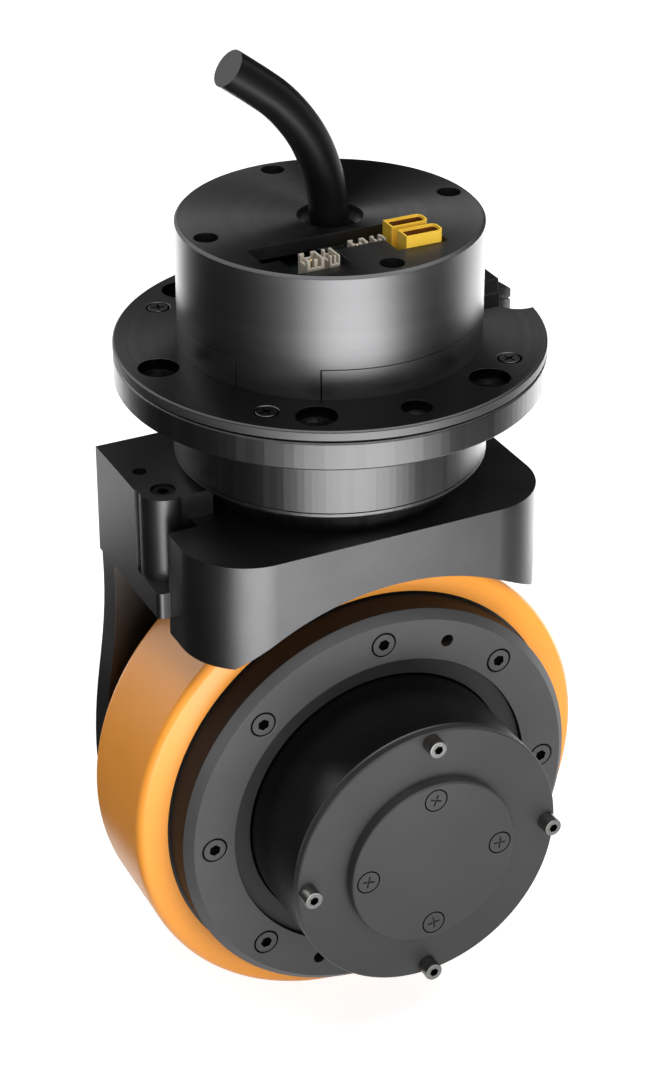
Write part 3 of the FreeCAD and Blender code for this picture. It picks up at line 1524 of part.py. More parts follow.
def make_drive_gears():
    gear_back = drive_gear_back + d.drive_gear_inset
    gear_front = drive_gear_front - d.drive_gear_inset
    bore = d.drive_shaft_radius + d.seat_gap
    sun = external_gear("drive_sun", DRIVE_SUN_TEETH, gear_back, gear_front, bore, 0.0)
    sub_part("drive_sun_gear", sun, True)
    play_bore = d.drive_pin_radius + d.planet_play
    for number, degrees in enumerate(PLANET_ANGLES, 1):
        start = planet_start(degrees, DRIVE_SUN_TEETH, DRIVE_PLANET_TEETH)
        gear = external_gear(f"drive_planet_gear_{number}", DRIVE_PLANET_TEETH, gear_back, gear_front, play_bore, start)
        x, y = around(drive_centre(), degrees)
        place(gear, x, 0, y - axle_drop, WHEEL_TURN)
        sub_part(f"drive_planet_{number}", gear)
    first = planet_start(0.0, DRIVE_SUN_TEETH, DRIVE_PLANET_TEETH)
    start = ring_start(0.0, first, DRIVE_PLANET_TEETH, DRIVE_RING_TEETH)
    outer = d.rim_bore - d.seat_gap
    gear = ring_gear("drive_ring", DRIVE_RING_TEETH, drive_gear_back, drive_gear_front, outer, start)
    sub_part("drive_ring_gear", gear, True)


def make_drive_carrier():
    disc_front = drive_gear_back
    shoulder_front = disc_front - d.carrier_disc_thickness
    disc = turned("drive_carrier_disc", [
        (0, arm_front - d.carrier_spigot_length),
        (d.carrier_spigot - d.seat_gap, arm_front - d.carrier_spigot_length),
        (d.carrier_spigot - d.seat_gap, arm_front),
        (d.carrier_shoulder, arm_front),
        (d.carrier_shoulder, shoulder_front),
        (d.motor_radius, shoulder_front),
        (d.motor_radius, disc_front),
        (0, disc_front),
    ])
    solids = [disc]
    holes = []
    bolts = []
    pins = []
    for number, degrees in enumerate(POST_ANGLES, 1):
        x, y = around(d.post_circle, degrees)
        solids.append(cylinder(f"carrier_post_{number}", d.post_radius, disc_front, motor_floor_back, x, y))
        end = motor_floor_front - d.post_bolt_length
        holes.append(cylinder(f"post_thread_{number}", d.yoke_shank + d.seat_gap, end, motor_floor_back, x, y))
        bolts.append(cap_screw(f"post_bolt_{number}", motor_floor_front, x, y, d.yoke_head_radius,
                               d.yoke_head_height, d.yoke_shank, d.post_bolt_length))
    for number, degrees in enumerate(CARRIER_BOLT_ANGLES, 1):
        x, y = around(d.carrier_bolt_circle, degrees)
        seat = arm_rear + d.bolt_head_depth
        end = seat + d.bolt_length
        holes.append(cylinder(f"carrier_thread_{number}", d.bolt_shank + d.seat_gap, arm_front, end, x, y))
        bolts.append(cap_screw(f"carrier_bolt_{number}", seat, x, y, d.bolt_head_radius, d.bolt_head_height,
                               d.bolt_shank, d.bolt_length, head_up=False))
    for number, degrees in enumerate(PLANET_ANGLES, 1):
        x, y = around(drive_centre(), degrees)
        pin_back = disc_front - d.drive_pin_depth
        holes.append(cylinder(f"drive_pin_hole_{number}", d.drive_pin_radius + d.seat_gap, pin_back, disc_front, x, y))
        pins.append(cylinder(f"drive_pin_{number}", d.drive_pin_radius, pin_back, drive_gear_front, x, y))
    sub_part("drive_carrier", cut("drive_carrier_cut", fuse("drive_carrier_solids", solids), holes), True)
    sub_part("carrier_bolts", together("carrier_bolt_set", bolts), True)
    sub_part("drive_planet_pins", together("drive_pin_set", pins), True)


def make_back_plate():
    edge = d.cap_edge
    back = arm_rear - d.back_plate_thickness
    sub_part("rear_cover", turned("back_plate", [
        (0, back),
        (d.back_plate_radius - edge, back),
        (d.back_plate_radius, back + edge),
        (d.back_plate_radius, arm_rear),
        (0, arm_rear),
    ]), True)


def make_wheel_bearings():
    backs = (("front", drive_gear_front), ("rear", rear_bearing_back))
    inner = [ring(f"{name}_inner_race", d.wheel_bearing_inner, d.motor_radius + d.seat_gap, back,
                  back + d.wheel_bearing_width) for name, back in backs]
    outer = [ring(f"{name}_outer_race", d.rim_bore - d.seat_gap, d.wheel_bearing_inner + d.wheel_bearing_gap, back,
                  back + d.wheel_bearing_width) for name, back in backs]
    sub_part("wheel_bearing_inner_rings", together("inner_race_set", inner), True)
    sub_part("wheel_bearing_outer_rings", together("outer_race_set", outer), True)


def make_tyre():
    shoulder = d.tyre_shoulder
    easing = shoulder * SHOULDER_SHARE
    back = tyre_back + d.tyre_side_slope
    front = d.tyre_front - d.tyre_side_slope
    sub_part("tyre", turned("tyre_body", [
        (rim_radius, tyre_back),
        (d.tyre_radius - shoulder, back),
        (d.tyre_radius - easing, back + easing),
        (d.tyre_radius, back + shoulder),
        (d.tyre_radius, front - shoulder),
        (d.tyre_radius - easing, front - easing),
        (d.tyre_radius - shoulder, front),
        (rim_radius, d.tyre_front),
    ]), True)


def make_wheel_rim():
    outer = rim_radius - d.seat_gap
    body = turned("rim_body", [
        (d.rim_bore, d.tyre_front),
        (outer, d.tyre_front),
        (outer, rim_back),
        (d.rim_lip_bore, rim_back),
        (d.rim_lip_bore, rear_bearing_back),
        (d.rim_bore, rear_bearing_back),
    ])
    holes = []
    for number, degrees in enumerate(RING_SCREW_ANGLES, 1):
        x, y = around(d.ring_screw_circle, degrees)
        end = ring_face - d.ring_screw_length
        holes.append(cylinder(f"rim_thread_{number}", d.ring_screw_shank + d.seat_gap, end, d.tyre_front, x, y))
    sub_part("wheel_rim", cut("rim_cut", body, holes), True)


def make_front_ring():
    chamfer = d.ring_chamfer
    seal_back = ring_face - d.seal_recess - d.seal_width
    body = turned("front_ring_body", [
        (d.ring_spigot_bore, front_bearing_front),
        (d.rim_bore - d.seat_gap, front_bearing_front),
        (d.rim_bore - d.seat_gap, d.tyre_front),
        (d.ring_radius, d.tyre_front),
        (d.ring_radius, ring_face - chamfer),
        (d.ring_radius - chamfer, ring_face),
        (d.ring_bore, ring_face),
        (d.ring_bore, seal_back),
        (d.ring_spigot_bore, seal_back),
    ])
    tools = []
    screws = []
    for number, degrees in enumerate(RING_SCREW_ANGLES, 1):
        x, y = around(d.ring_screw_circle, degrees)
        hole = d.ring_screw_shank + d.seat_gap
        tools += countersunk_hole(f"ring_{number}", ring_face, x, y, d.ring_head_radius, hole, d.ring_thickness)
        screws.append(countersunk_screw(f"ring_screw_{number}", ring_face, x, y, d.ring_head_radius,
                                        d.ring_screw_shank, d.ring_screw_length, hexagonal=True))
    for number, degrees in enumerate(JACK_ANGLES, 1):
        x, y = around(d.ring_screw_circle, degrees)
        tools.append(cylinder(f"jack_hole_{number}", d.jack_hole, ring_face - d.jack_depth, ring_face, x, y))
    sub_part("front_ring", cut("front_ring_cut", body, tools), True)
    sub_part("ring_screws", together("ring_screw_set", screws), True)
    seal = ring("seal_body", d.ring_bore - d.seat_gap, d.seal_inner, seal_back, seal_back + d.seal_width)
    sub_part("dust_seal", seal, True)


def make_wheel_rear_cover():
    cover = ring("wheel_cover_body", d.rear_cover_outer, d.rear_cover_inner, rim_back - d.rear_cover_thickness, rim_back)
    sub_part("wheel_rear_cover", cover, True)


def make_grommet():
    seat = CABLE_ROUTE[0][1]
    outer = d.shaft_bore - d.seat_gap
    sub_part("cable_grommet", turned("grommet_body", [
        (d.grommet_bore, seat - d.grommet_floor),
        (outer, seat - d.grommet_floor),
        (outer, seat + d.grommet_sleeve),
        (d.cable_radius + d.seat_gap, seat + d.grommet_sleeve),
        (d.cable_radius + d.seat_gap, seat),
        (d.grommet_bore, seat),
    ]))


def make_cable():
    """Straight runs joined by arcs that touch them, swept with the cable's round section."""
    points = [FreeCAD.Vector(x, 0, z) for x, z in CABLE_ROUTE]
    edges = []
    here = points[0]
    for before, corner, after in zip(points, points[1:], points[2:]):
        coming = corner - before
        going = after - corner
        half_turn = coming.getAngle(going) / 2
        shorter = min(coming.Length, going.Length)
        radius = ARC_SHARE * shorter / math.tan(half_turn)
        print(f"cable arc radius {radius:.1f} mm")
        coming.normalize()
        going.normalize()
        start = corner - coming * (ARC_SHARE * shorter)
        end = corner + going * (ARC_SHARE * shorter)
        inward = going - coming
        inward.normalize()
        middle = corner + inward * (radius / math.cos(half_turn) - radius)
        edges.append(Part.LineSegment(here, start).toShape())
        edges.append(Part.Arc(start, middle, end).toShape())
        here = end
    edges.append(Part.LineSegment(here, points[-1]).toShape())
    path = Part.Wire(edges)
    section = Part.Wire([Part.makeCircle(cell(d.cable_radius), points[0], points[1] - points[0])])
    tube = path.makePipeShell([section], True, False)
    expected = math.pi * cell(d.cable_radius) ** 2 * path.Length
    print(f"cable length {path.Length:.1f} mm, volume share {tube.Volume / expected:.4f}")
    sub_part("cable", gear_item("cable_tube", tube))


def report_problems():
    """Stop where an object failed or a piece isn't a sound solid."""
    for item in doc.Objects:
        if "Invalid" in item.State or "Error" in item.State:
            raise RuntimeError(f"{item.Name} failed: {item.State}")
    for piece in PIECES:
        shape = piece.Shape
        if shape.isNull() or not shape.isValid() or shape.Volume <= 0:
            raise RuntimeError(f"{piece.Label} has no sound shape")


def write_pieces():
    os.makedirs("parts", exist_ok=True)
    for piece in PIECES:
        piece.Shape.exportStep(os.path.join("parts", piece.Label + ".step"))


make_casing()
make_motor_base_ring()
make_casing_screws()
make_flange_cover()
make_flange_screws()
make_bearing_housing()
make_bearing_retainer()
make_crossed_bearing()
make_hollow_shaft()
make_rotor_bearings()
make_steer_stator()
make_controller_board()
make_power_connectors()
make_signal_connectors()
make_sensor_block()
make_steer_rotor()
make_steer_gears()
make_planet_carrier()
make_output_flange()
make_yoke_bridge()
make_yoke_arm()
make_yoke_fasteners()
make_motor_housing()
make_motor_cap()
make_encoder_cover()
make_drive_motor()
make_drive_gears()
make_drive_carrier()
make_back_plate()
make_wheel_bearings()
make_tyre()
make_wheel_rim()
make_front_ring()
make_wheel_rear_cover()
make_grommet()
make_cable()
doc.recompute()
report_problems()
write_pieces()
print(f"{len(PIECES)} pieces written")
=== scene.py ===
"""Looks of a steerable drive wheel unit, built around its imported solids."""

import json
import math

import bmesh
import bpy
from mathutils import Matrix, Vector

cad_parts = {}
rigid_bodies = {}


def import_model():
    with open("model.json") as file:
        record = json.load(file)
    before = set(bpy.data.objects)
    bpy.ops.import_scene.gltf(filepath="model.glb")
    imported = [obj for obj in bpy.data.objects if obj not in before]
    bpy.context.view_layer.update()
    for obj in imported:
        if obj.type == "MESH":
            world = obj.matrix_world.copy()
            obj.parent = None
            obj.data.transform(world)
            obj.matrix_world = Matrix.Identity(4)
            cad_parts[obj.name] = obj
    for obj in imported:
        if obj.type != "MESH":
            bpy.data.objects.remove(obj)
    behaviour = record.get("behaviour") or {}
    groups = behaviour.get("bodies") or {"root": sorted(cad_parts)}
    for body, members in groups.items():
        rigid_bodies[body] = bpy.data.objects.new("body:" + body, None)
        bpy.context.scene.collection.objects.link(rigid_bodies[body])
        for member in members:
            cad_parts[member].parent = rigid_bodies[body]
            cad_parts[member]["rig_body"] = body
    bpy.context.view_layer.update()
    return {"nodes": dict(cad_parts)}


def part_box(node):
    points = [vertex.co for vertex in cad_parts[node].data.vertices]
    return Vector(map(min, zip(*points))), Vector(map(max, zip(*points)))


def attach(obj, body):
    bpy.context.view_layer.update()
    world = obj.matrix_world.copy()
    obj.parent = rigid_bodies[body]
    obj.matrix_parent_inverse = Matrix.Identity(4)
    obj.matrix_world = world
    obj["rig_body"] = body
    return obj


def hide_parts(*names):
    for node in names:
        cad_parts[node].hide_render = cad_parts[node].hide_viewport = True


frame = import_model()

MM = 0.001
ORIGIN = (0.0, 0.0, 0.0)
WHITE = (1.0, 1.0, 1.0, 1.0)

# Where the photograph was taken from, in metres, with its lens and sensor in millimetres
CAMERA_PLACE = (-0.30338, -0.61682, 0.33492)
CAMERA_AIM = (0.0, 0.0, 0.0122)
CAMERA_LENS = 85.16
CAMERA_SENSOR = 36.0
CAMERA_SHIFT_X = -0.0059
CAMERA_SHIFT_Y = -0.1955

AXLE_HEIGHT = -0.13154
AXLE_CENTRE = (0.0, 0.0, AXLE_HEIGHT)
FLOOR_HEIGHT = -0.2070

# Points nearer than this are merged, in a piece made here and in a copied solid
PIECE_MERGE = 1e-6
SOLID_MERGE = 2e-6

# The x and z of each point of the cable's route, as in the part's source
CABLE_ROUTE = (
    (0.0, 0.0370),
    (0.0, 0.0500),
    (-0.0022, 0.0639),
    (-0.0072, 0.0759),
    (-0.0151, 0.0862),
    (-0.0232, 0.0929),
    (-0.0313, 0.0989),
)
CABLE_DIAMETER = 0.0116


# Camera

def make_camera():
    data = bpy.data.cameras.new("photo_camera")
    data.lens = CAMERA_LENS
    data.sensor_width = CAMERA_SENSOR
    data.sensor_fit = "AUTO"
    data.shift_x = CAMERA_SHIFT_X
    data.shift_y = CAMERA_SHIFT_Y
    data.clip_start = 0.01
    data.clip_end = 50.0
    camera = bpy.data.objects.new("photo_camera", data)
    bpy.context.scene.collection.objects.link(camera)
    camera.location = CAMERA_PLACE
    aim = Vector(CAMERA_AIM) - Vector(CAMERA_PLACE)
    camera.rotation_euler = aim.to_track_quat("-Z", "Y").to_euler()
    bpy.context.scene.camera = camera


# Shop tools for shaping a piece

def nothing_selected():
    if bpy.context.object is not None and bpy.context.object.mode != "OBJECT":
        bpy.ops.object.mode_set(mode="OBJECT")
    bpy.ops.object.select_all(action="DESELECT")


def work_on(piece):
    nothing_selected()
    piece.select_set(True)
    bpy.context.view_layer.objects.active = piece


def edit(piece):
    work_on(piece)
    bpy.ops.object.mode_set(mode="EDIT")
    bpy.ops.mesh.select_mode(type="VERT")


def done_editing():
    bpy.ops.object.mode_set(mode="OBJECT")


def settle(piece):
    """Puts the piece's place, turn and size into its mesh."""
    work_on(piece)
    bpy.ops.object.transform_apply(location=True, rotation=True, scale=True)


def pick_faces(piece, wanted):
    """Selects the faces whose centre and normal pass the test, and nothing else."""
    bpy.ops.mesh.select_mode(type="FACE")
    bpy.ops.mesh.select_all(action="DESELECT")
    mesh = bmesh.from_edit_mesh(piece.data)
    for face in mesh.faces:
        if wanted(face.calc_center_median(), face.normal):
            face.select_set(True)
    mesh.select_flush_mode()
    bmesh.update_edit_mesh(piece.data)


def pick_edges(piece, wanted):
    """Selects the edges whose two ends pass the test, and nothing else."""
    bpy.ops.mesh.select_mode(type="EDGE")
    bpy.ops.mesh.select_all(action="DESELECT")
    mesh = bmesh.from_edit_mesh(piece.data)
    for edge in mesh.edges:
        if wanted(edge.verts[0].co, edge.verts[1].co):
            edge.select_set(True)
    mesh.select_flush_mode()
    bmesh.update_edit_mesh(piece.data)


def apply_modifier(piece, kind, **settings):
    work_on(piece)
    modifier = piece.modifiers.new(kind.lower(), kind)
    for setting, value in settings.items():
        setattr(modifier, setting, value)
    bpy.ops.object.modifier_apply(modifier=modifier.name)


def ease_edges(piece, width, segments=2):
    apply_modifier(
        piece, "BEVEL", width=width, segments=segments, limit_method="ANGLE",
        angle_limit=math.radians(30), use_clamp_overlap=True, miter_outer="MITER_ARC",
    )


def smooth(piece, angle=30):
    """Smooth round walls, with the flat faces kept flat beside their eased edges."""
    work_on(piece)
    bpy.ops.object.shade_smooth_by_angle(angle=math.radians(angle))
    apply_modifier(piece, "WEIGHTED_NORMAL", mode="FACE_AREA", weight=90, keep_sharp=True)


def outward(piece):
    """Merges doubled points and points every face outwards."""
    edit(piece)
    bpy.ops.mesh.select_all(action="SELECT")
    bpy.ops.mesh.remove_doubles(threshold=PIECE_MERGE)
    bpy.ops.mesh.normals_make_consistent(inside=False)
    done_editing()


def block(name, low, high):
    """A block between two corners, in millimetres."""
    nothing_selected()
    centre = [(a + b) / 2 * MM for a, b in zip(low, high)]
    size = [(b - a) * MM for a, b in zip(low, high)]
    bpy.ops.mesh.primitive_cube_add(size=1, location=centre, scale=size)
    piece = bpy.context.object
    piece.name = name
    settle(piece)
    return piece


def turned(name, profile, sides, centre=ORIGIN, along="Z", close=True):
    """A ring of the profile's radii and places along its axis, in metres, drawn out circle by circle."""
    nothing_selected()
    turn = (0.0, 0.0, 0.0)
    step = Vector((0.0, 0.0, 1.0))
    shape = Vector((1.0, 1.0, 0.0))
    if along == "Y":
        turn = (math.radians(90), 0.0, 0.0)
        step = Vector((0.0, 1.0, 0.0))
        shape = Vector((1.0, 0.0, 1.0))
    radius, place = profile[0]
    start = Vector(centre) + step * place
    bpy.ops.mesh.primitive_circle_add(vertices=sides, radius=radius, location=start, rotation=turn)
    piece = bpy.context.object
    piece.name = name
    settle(piece)
    edit(piece)
    bpy.ops.mesh.select_all(action="SELECT")
    for next_radius, next_place in profile[1:]:
        move = step * (next_place - place)
        bpy.ops.mesh.extrude_region_move(TRANSFORM_OT_translate={"value": move})
        grow = next_radius / radius
        size = [grow if axis else 1.0 for axis in shape]
        middle = Vector(centre) + step * next_place
        bpy.ops.transform.resize(value=size, center_override=middle)
        radius = next_radius
        place = next_place
    if close:
        bpy.ops.mesh.select_all(action="DESELECT")
        bpy.ops.mesh.select_mode(type="EDGE")
        bpy.ops.mesh.select_non_manifold()
        bpy.ops.mesh.bridge_edge_loops()
    done_editing()
    outward(piece)
    return piece


def solid_turned(name, profile, sides, centre=ORIGIN, along="Z"):
    """A turned piece whose two ends are closed by faces."""
    piece = turned(name, profile, sides, centre, along, close=False)
    edit(piece)
    bpy.ops.mesh.select_mode(type="EDGE")
    bpy.ops.mesh.select_all(action="DESELECT")
    bpy.ops.mesh.select_non_manifold()
    bpy.ops.mesh.fill_holes(sides=0)
    done_editing()
    outward(piece)
    return piece


def cut_away(piece, tool):
    apply_modifier(piece, "BOOLEAN", object=tool, operation="DIFFERENCE", solver="EXACT")
    bpy.data.objects.remove(tool)


def join_pieces(pieces, name):
    nothing_selected()
    for piece in pieces:
        piece.select_set(True)
    bpy.context.view_layer.objects.active = pieces[0]
    bpy.ops.object.join()
    joined = bpy.context.object
    joined.name = name
    return joined


def moved_copy(piece, name, matrix):
    twin = bpy.data.objects.new(name, piece.data.copy())
    bpy.context.scene.collection.objects.link(twin)
    twin.data.transform(matrix)
    return twin


def give(piece, material):
    piece.data.materials.clear()
    piece.data.materials.append(material)


def give_second(piece, material, wanted):
    """A second material on the faces whose centre and normal pass the test."""
    piece.data.materials.append(material)
    for face in piece.data.polygons:
        if wanted(face.center, face.normal):
            face.material_index = len(piece.data.materials) - 1


def loose_boxes(node):
    """The lowest and highest corner of each loose solid of a node, the leftmost first."""
    mesh = bmesh.new()
    mesh.from_mesh(frame["nodes"][node].data)
    bmesh.ops.remove_doubles(mesh, verts=mesh.verts, dist=SOLID_MERGE)
    waiting = set(mesh.verts)
    boxes = []
    while waiting:
        edge_of_solid = [waiting.pop()]
        solid = list(edge_of_solid)
        while edge_of_solid:
            point = edge_of_solid.pop()
            for edge in point.link_edges:
                other = edge.other_vert(point)
                if other in waiting:
                    waiting.remove(other)
                    edge_of_solid.append(other)
                    solid.append(other)
        low = Vector([min(point.co[axis] for point in solid) for axis in range(3)])
        high = Vector([max(point.co[axis] for point in solid) for axis in range(3)])
        boxes.append((low, high))
    mesh.free()
    return sorted(boxes, key=lambda box: tuple(round(value, 5) for value in box[0]))


def stand_for(piece, body, *nodes):
    """The piece rides on the body, takes the place of the solids and their finish."""
    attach(piece, body)
    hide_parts(*nodes)


def eased_copy(node, material, ease, reshape=None):
    """A copy of a solid, reshaped first, with its edges eased and its round walls smooth."""
    source = frame["nodes"][node]
    piece = bpy.data.objects.new(node + "_finished", source.data.copy())
    bpy.context.scene.collection.objects.link(piece)
    edit(piece)
    bpy.ops.mesh.select_all(action="SELECT")
    bpy.ops.mesh.remove_doubles(threshold=SOLID_MERGE)
    bpy.ops.mesh.select_all(action="SELECT")
    bpy.ops.mesh.dissolve_limited(angle_limit=math.radians(0.2))
    done_editing()
    if reshape:
        reshape(piece)
    ease_edges(piece, ease * MM)
    smooth(piece)
    give(piece, material)
    stand_for(piece, source["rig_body"], node)
    return piece


# Effects that several finishes share

def new_group(name, inputs, outputs):
    group = bpy.data.node_groups.new(name, "ShaderNodeTree")
    for label, kind, value in inputs:
        socket = group.interface.new_socket(name=label, in_out="INPUT", socket_type=kind)
        if value is not None:
            socket.default_value = value
    for label, kind in outputs:
        group.interface.new_socket(name=label, in_out="OUTPUT", socket_type=kind)
    entry = group.nodes.new("NodeGroupInput")
    leave = group.nodes.new("NodeGroupOutput")
    return group, entry, leave


def add(tree, kind, **settings):
    node = tree.nodes.new(kind)
    for setting, value in settings.items():
        setattr(node, setting, value)
    return node


def plug(tree, value, socket):
    """Sets a socket to a number, or links another socket to it."""
    if isinstance(value, (int, float)):
        socket.default_value = value
    else:
        tree.links.new(value, socket)


def maths(tree, operation, *values):
    """A Math node whose inputs are sockets or numbers."""
    node = add(tree, "ShaderNodeMath", operation=operation)
    for socket, value in zip(node.inputs, values):
        plug(tree, value, socket)
    return node.outputs[0]


def noise(tree, vector, scale, detail, roughness):
    node = add(tree, "ShaderNodeTexNoise")
    node.inputs["Detail"].default_value = detail
    node.inputs["Roughness"].default_value = roughness
    tree.links.new(vector, node.inputs["Vector"])
    plug(tree, scale, node.inputs["Scale"])
    return node.outputs[0]


def make_blasted_grain():
    """Fine bead-blasted grain and a slow change of tone."""
    group, entry, leave = new_group(
        "blasted_grain",
        [
            ("Vector", "NodeSocketVector", None),
            ("Grain Scale", "NodeSocketFloat", 2600.0),
            ("Cloud Scale", "NodeSocketFloat", 34.0),
        ],
        [("Height", "NodeSocketFloat"), ("Cloud", "NodeSocketFloat")],
    )
    vector = entry.outputs["Vector"]
    grain = noise(group, vector, entry.outputs["Grain Scale"], detail=3.0, roughness=0.6)
    cloud = noise(group, vector, entry.outputs["Cloud Scale"], detail=4.0, roughness=0.55)
    group.links.new(grain, leave.inputs["Height"])
    group.links.new(cloud, leave.inputs["Cloud"])
    return group


def make_lathe_marks():
    """Rings round the Z axis, as a turning tool leaves them."""
    group, entry, leave = new_group(
        "lathe_marks",
        [("Vector", "NodeSocketVector", None), ("Feed", "NodeSocketFloat", 0.0006)],
        [("Height", "NodeSocketFloat"), ("Tone", "NodeSocketFloat")],
    )
    split = add(group, "ShaderNodeSeparateXYZ")
    group.links.new(entry.outputs["Vector"], split.inputs[0])
    across = maths(group, "MULTIPLY", split.outputs["X"], split.outputs["X"])
    along = maths(group, "MULTIPLY", split.outputs["Y"], split.outputs["Y"])
    radius = maths(group, "SQRT", maths(group, "ADD", across, along))
    reach = maths(group, "ADD", radius, split.outputs["Z"])
    turns = maths(group, "DIVIDE", reach, entry.outputs["Feed"])
    wave = maths(group, "SINE", maths(group, "MULTIPLY", turns, math.tau))
    ring_place = add(group, "ShaderNodeCombineXYZ")
    slow = maths(group, "MULTIPLY", turns, 0.11)
    group.links.new(slow, ring_place.inputs[0])
    uneven = noise(group, ring_place.outputs[0], 2.0, detail=3.0, roughness=0.7)
    group.links.new(maths(group, "MULTIPLY", wave, uneven), leave.inputs["Height"])
    group.links.new(uneven, leave.inputs["Tone"])
    return group


def make_ground_bands():
    """Narrow upright flats round the Z axis, each a little lighter or darker than the next."""
    group, entry, leave = new_group(
        "ground_bands",
        [("Vector", "NodeSocketVector", None), ("Count", "NodeSocketFloat", 144.0)],
        [("Tone", "NodeSocketFloat"), ("Height", "NodeSocketFloat")],
    )
    split = add(group, "ShaderNodeSeparateXYZ")
    group.links.new(entry.outputs["Vector"], split.inputs[0])
    angle = maths(group, "ARCTAN2", split.outputs["Y"], split.outputs["X"])
    turn = maths(group, "MULTIPLY", angle, 1 / math.tau)
    steps = maths(group, "MULTIPLY", turn, entry.outputs["Count"])
    number = maths(group, "FLOOR", steps)
    share = maths(group, "SUBTRACT", steps, number)
    across = maths(group, "SUBTRACT", maths(group, "MULTIPLY", share, 2.0), 1.0)
    hollow = maths(group, "MULTIPLY", across, across)
    white = add(group, "ShaderNodeTexWhiteNoise", noise_dimensions="1D")
    group.links.new(number, white.inputs["W"])
    group.links.new(white.outputs["Value"], leave.inputs["Tone"])
    group.links.new(hollow, leave.inputs["Height"])
    return group


def make_moulded_skin():
    """The soft orange peel of cast rubber or moulded plastic, with a fine dusty tone."""
    group, entry, leave = new_group(
        "moulded_skin",
        [("Vector", "NodeSocketVector", None), ("Peel Scale", "NodeSocketFloat", 420.0)],
        [("Height", "NodeSocketFloat"), ("Dust", "NodeSocketFloat")],
    )
    vector = entry.outputs["Vector"]
    peel_scale = entry.outputs["Peel Scale"]
    fine_scale = maths(group, "MULTIPLY", peel_scale, 6.0)
    dust_scale = maths(group, "MULTIPLY", peel_scale, 0.09)
    peel = noise(group, vector, peel_scale, detail=2.0, roughness=0.5)
    fine = noise(group, vector, fine_scale, detail=2.0, roughness=0.6)
    dust = noise(group, vector, dust_scale, detail=5.0, roughness=0.6)
    faint = maths(group, "MULTIPLY", fine, 0.35)
    group.links.new(maths(group, "ADD", peel, faint), leave.inputs["Height"])
    group.links.new(dust, leave.inputs["Dust"])
    return group


BLASTED_GRAIN = make_blasted_grain()
LATHE_MARKS = make_lathe_marks()
GROUND_BANDS = make_ground_bands()
MOULDED_SKIN = make_moulded_skin()


# Finishes

class Finish:
    """One material with its shader, and the socket of object coordinates."""

    def __init__(self, name, colour, metallic, roughness, specular=0.5, **others):
        self.material = bpy.data.materials.new(name)
        self.material.use_nodes = True
        self.tree = self.material.node_tree
        self.shader = self.tree.nodes["Principled BSDF"]
        self.shader.inputs["Base Color"].default_value = (*colour, 1.0)
        self.shader.inputs["Metallic"].default_value = metallic
        self.shader.inputs["Roughness"].default_value = roughness
        self.shader.inputs["Specular IOR Level"].default_value = specular
        for label, value in others.items():
            self.shader.inputs[label.replace("_", " ")].default_value = value
        self.colour = colour
        self.roughness = roughness
        self.place = add(self.tree, "ShaderNodeTexCoord").outputs["Object"]

    def turned_place(self, centre=ORIGIN, along_y=False):
        """Object coordinates moved to a centre, with the axle turned upright."""
        moved = add(self.tree, "ShaderNodeVectorMath", operation="SUBTRACT")
        moved.inputs[1].default_value = centre
        self.tree.links.new(self.place, moved.inputs[0])
        if not along_y:
            return moved.outputs[0]
        split = add(self.tree, "ShaderNodeSeparateXYZ")
        self.tree.links.new(moved.outputs[0], split.inputs[0])
        swapped = add(self.tree, "ShaderNodeCombineXYZ")
        self.tree.links.new(split.outputs["X"], swapped.inputs["X"])
        self.tree.links.new(split.outputs["Z"], swapped.inputs["Y"])
        self.tree.links.new(split.outputs["Y"], swapped.inputs["Z"])
        return swapped.outputs[0]

    def effect(self, group, vector, **values):
        node = add(self.tree, "ShaderNodeGroup", node_tree=group)
        self.tree.links.new(vector, node.inputs["Vector"])
        for label, value in values.items():
            node.inputs[label.replace("_", " ")].default_value = value
        return node.outputs

    def tint(self, mask, dark, light):
        """The base colour runs from its dark to its light share over the mask."""
        ramp = add(self.tree, "ShaderNodeValToRGB")
        ramp.color_ramp.elements[0].position = 0.3
        ramp.color_ramp.elements[1].position = 0.7
        ramp.color_ramp.elements[0].color = (*[c * dark for c in self.colour], 1.0)
        ramp.color_ramp.elements[1].color = (*[c * light for c in self.colour], 1.0)
        self.tree.links.new(mask, ramp.inputs["Fac"])
        self.tree.links.new(ramp.outputs["Color"], self.shader.inputs["Base Color"])

    def vary_roughness(self, mask, spread):
        stretch = add(self.tree, "ShaderNodeMapRange")
        stretch.inputs["From Min"].default_value = 0.25
        stretch.inputs["From Max"].default_value = 0.75
        stretch.inputs["To Min"].default_value = self.roughness - spread
        stretch.inputs["To Max"].default_value = self.roughness + spread
        self.tree.links.new(mask, stretch.inputs["Value"])
        self.tree.links.new(stretch.outputs["Result"], self.shader.inputs["Roughness"])

    def bump(self, height, depth, strength):
        node = add(self.tree, "ShaderNodeBump")
        node.inputs["Distance"].default_value = depth
        node.inputs["Strength"].default_value = strength
        self.tree.links.new(height, node.inputs["Height"])
        self.tree.links.new(node.outputs["Normal"], self.shader.inputs["Normal"])

    def ringed(self, axis):
        """Long highlights across the rings that turning leaves."""
        tangent = add(self.tree, "ShaderNodeTangent", direction_type="RADIAL", axis=axis)
        self.tree.links.new(tangent.outputs["Tangent"], self.shader.inputs["Tangent"])


def near_black(tone):
    """A grey with a touch of blue."""
    return (tone, tone, tone * 1.02)


def blasted_black(name, tone, roughness, metallic=1.0, **others):
    """Black anodised metal with a blasted skin. The tone is the share of light that it mirrors."""
    finish = Finish(name, near_black(tone), metallic, roughness, **others)
    grain = finish.effect(BLASTED_GRAIN, finish.place)
    finish.tint(grain["Cloud"], dark=0.86, light=1.14)
    finish.vary_roughness(grain["Cloud"], spread=0.025)
    finish.bump(grain["Height"], depth=0.00002, strength=0.35)
    return finish.material


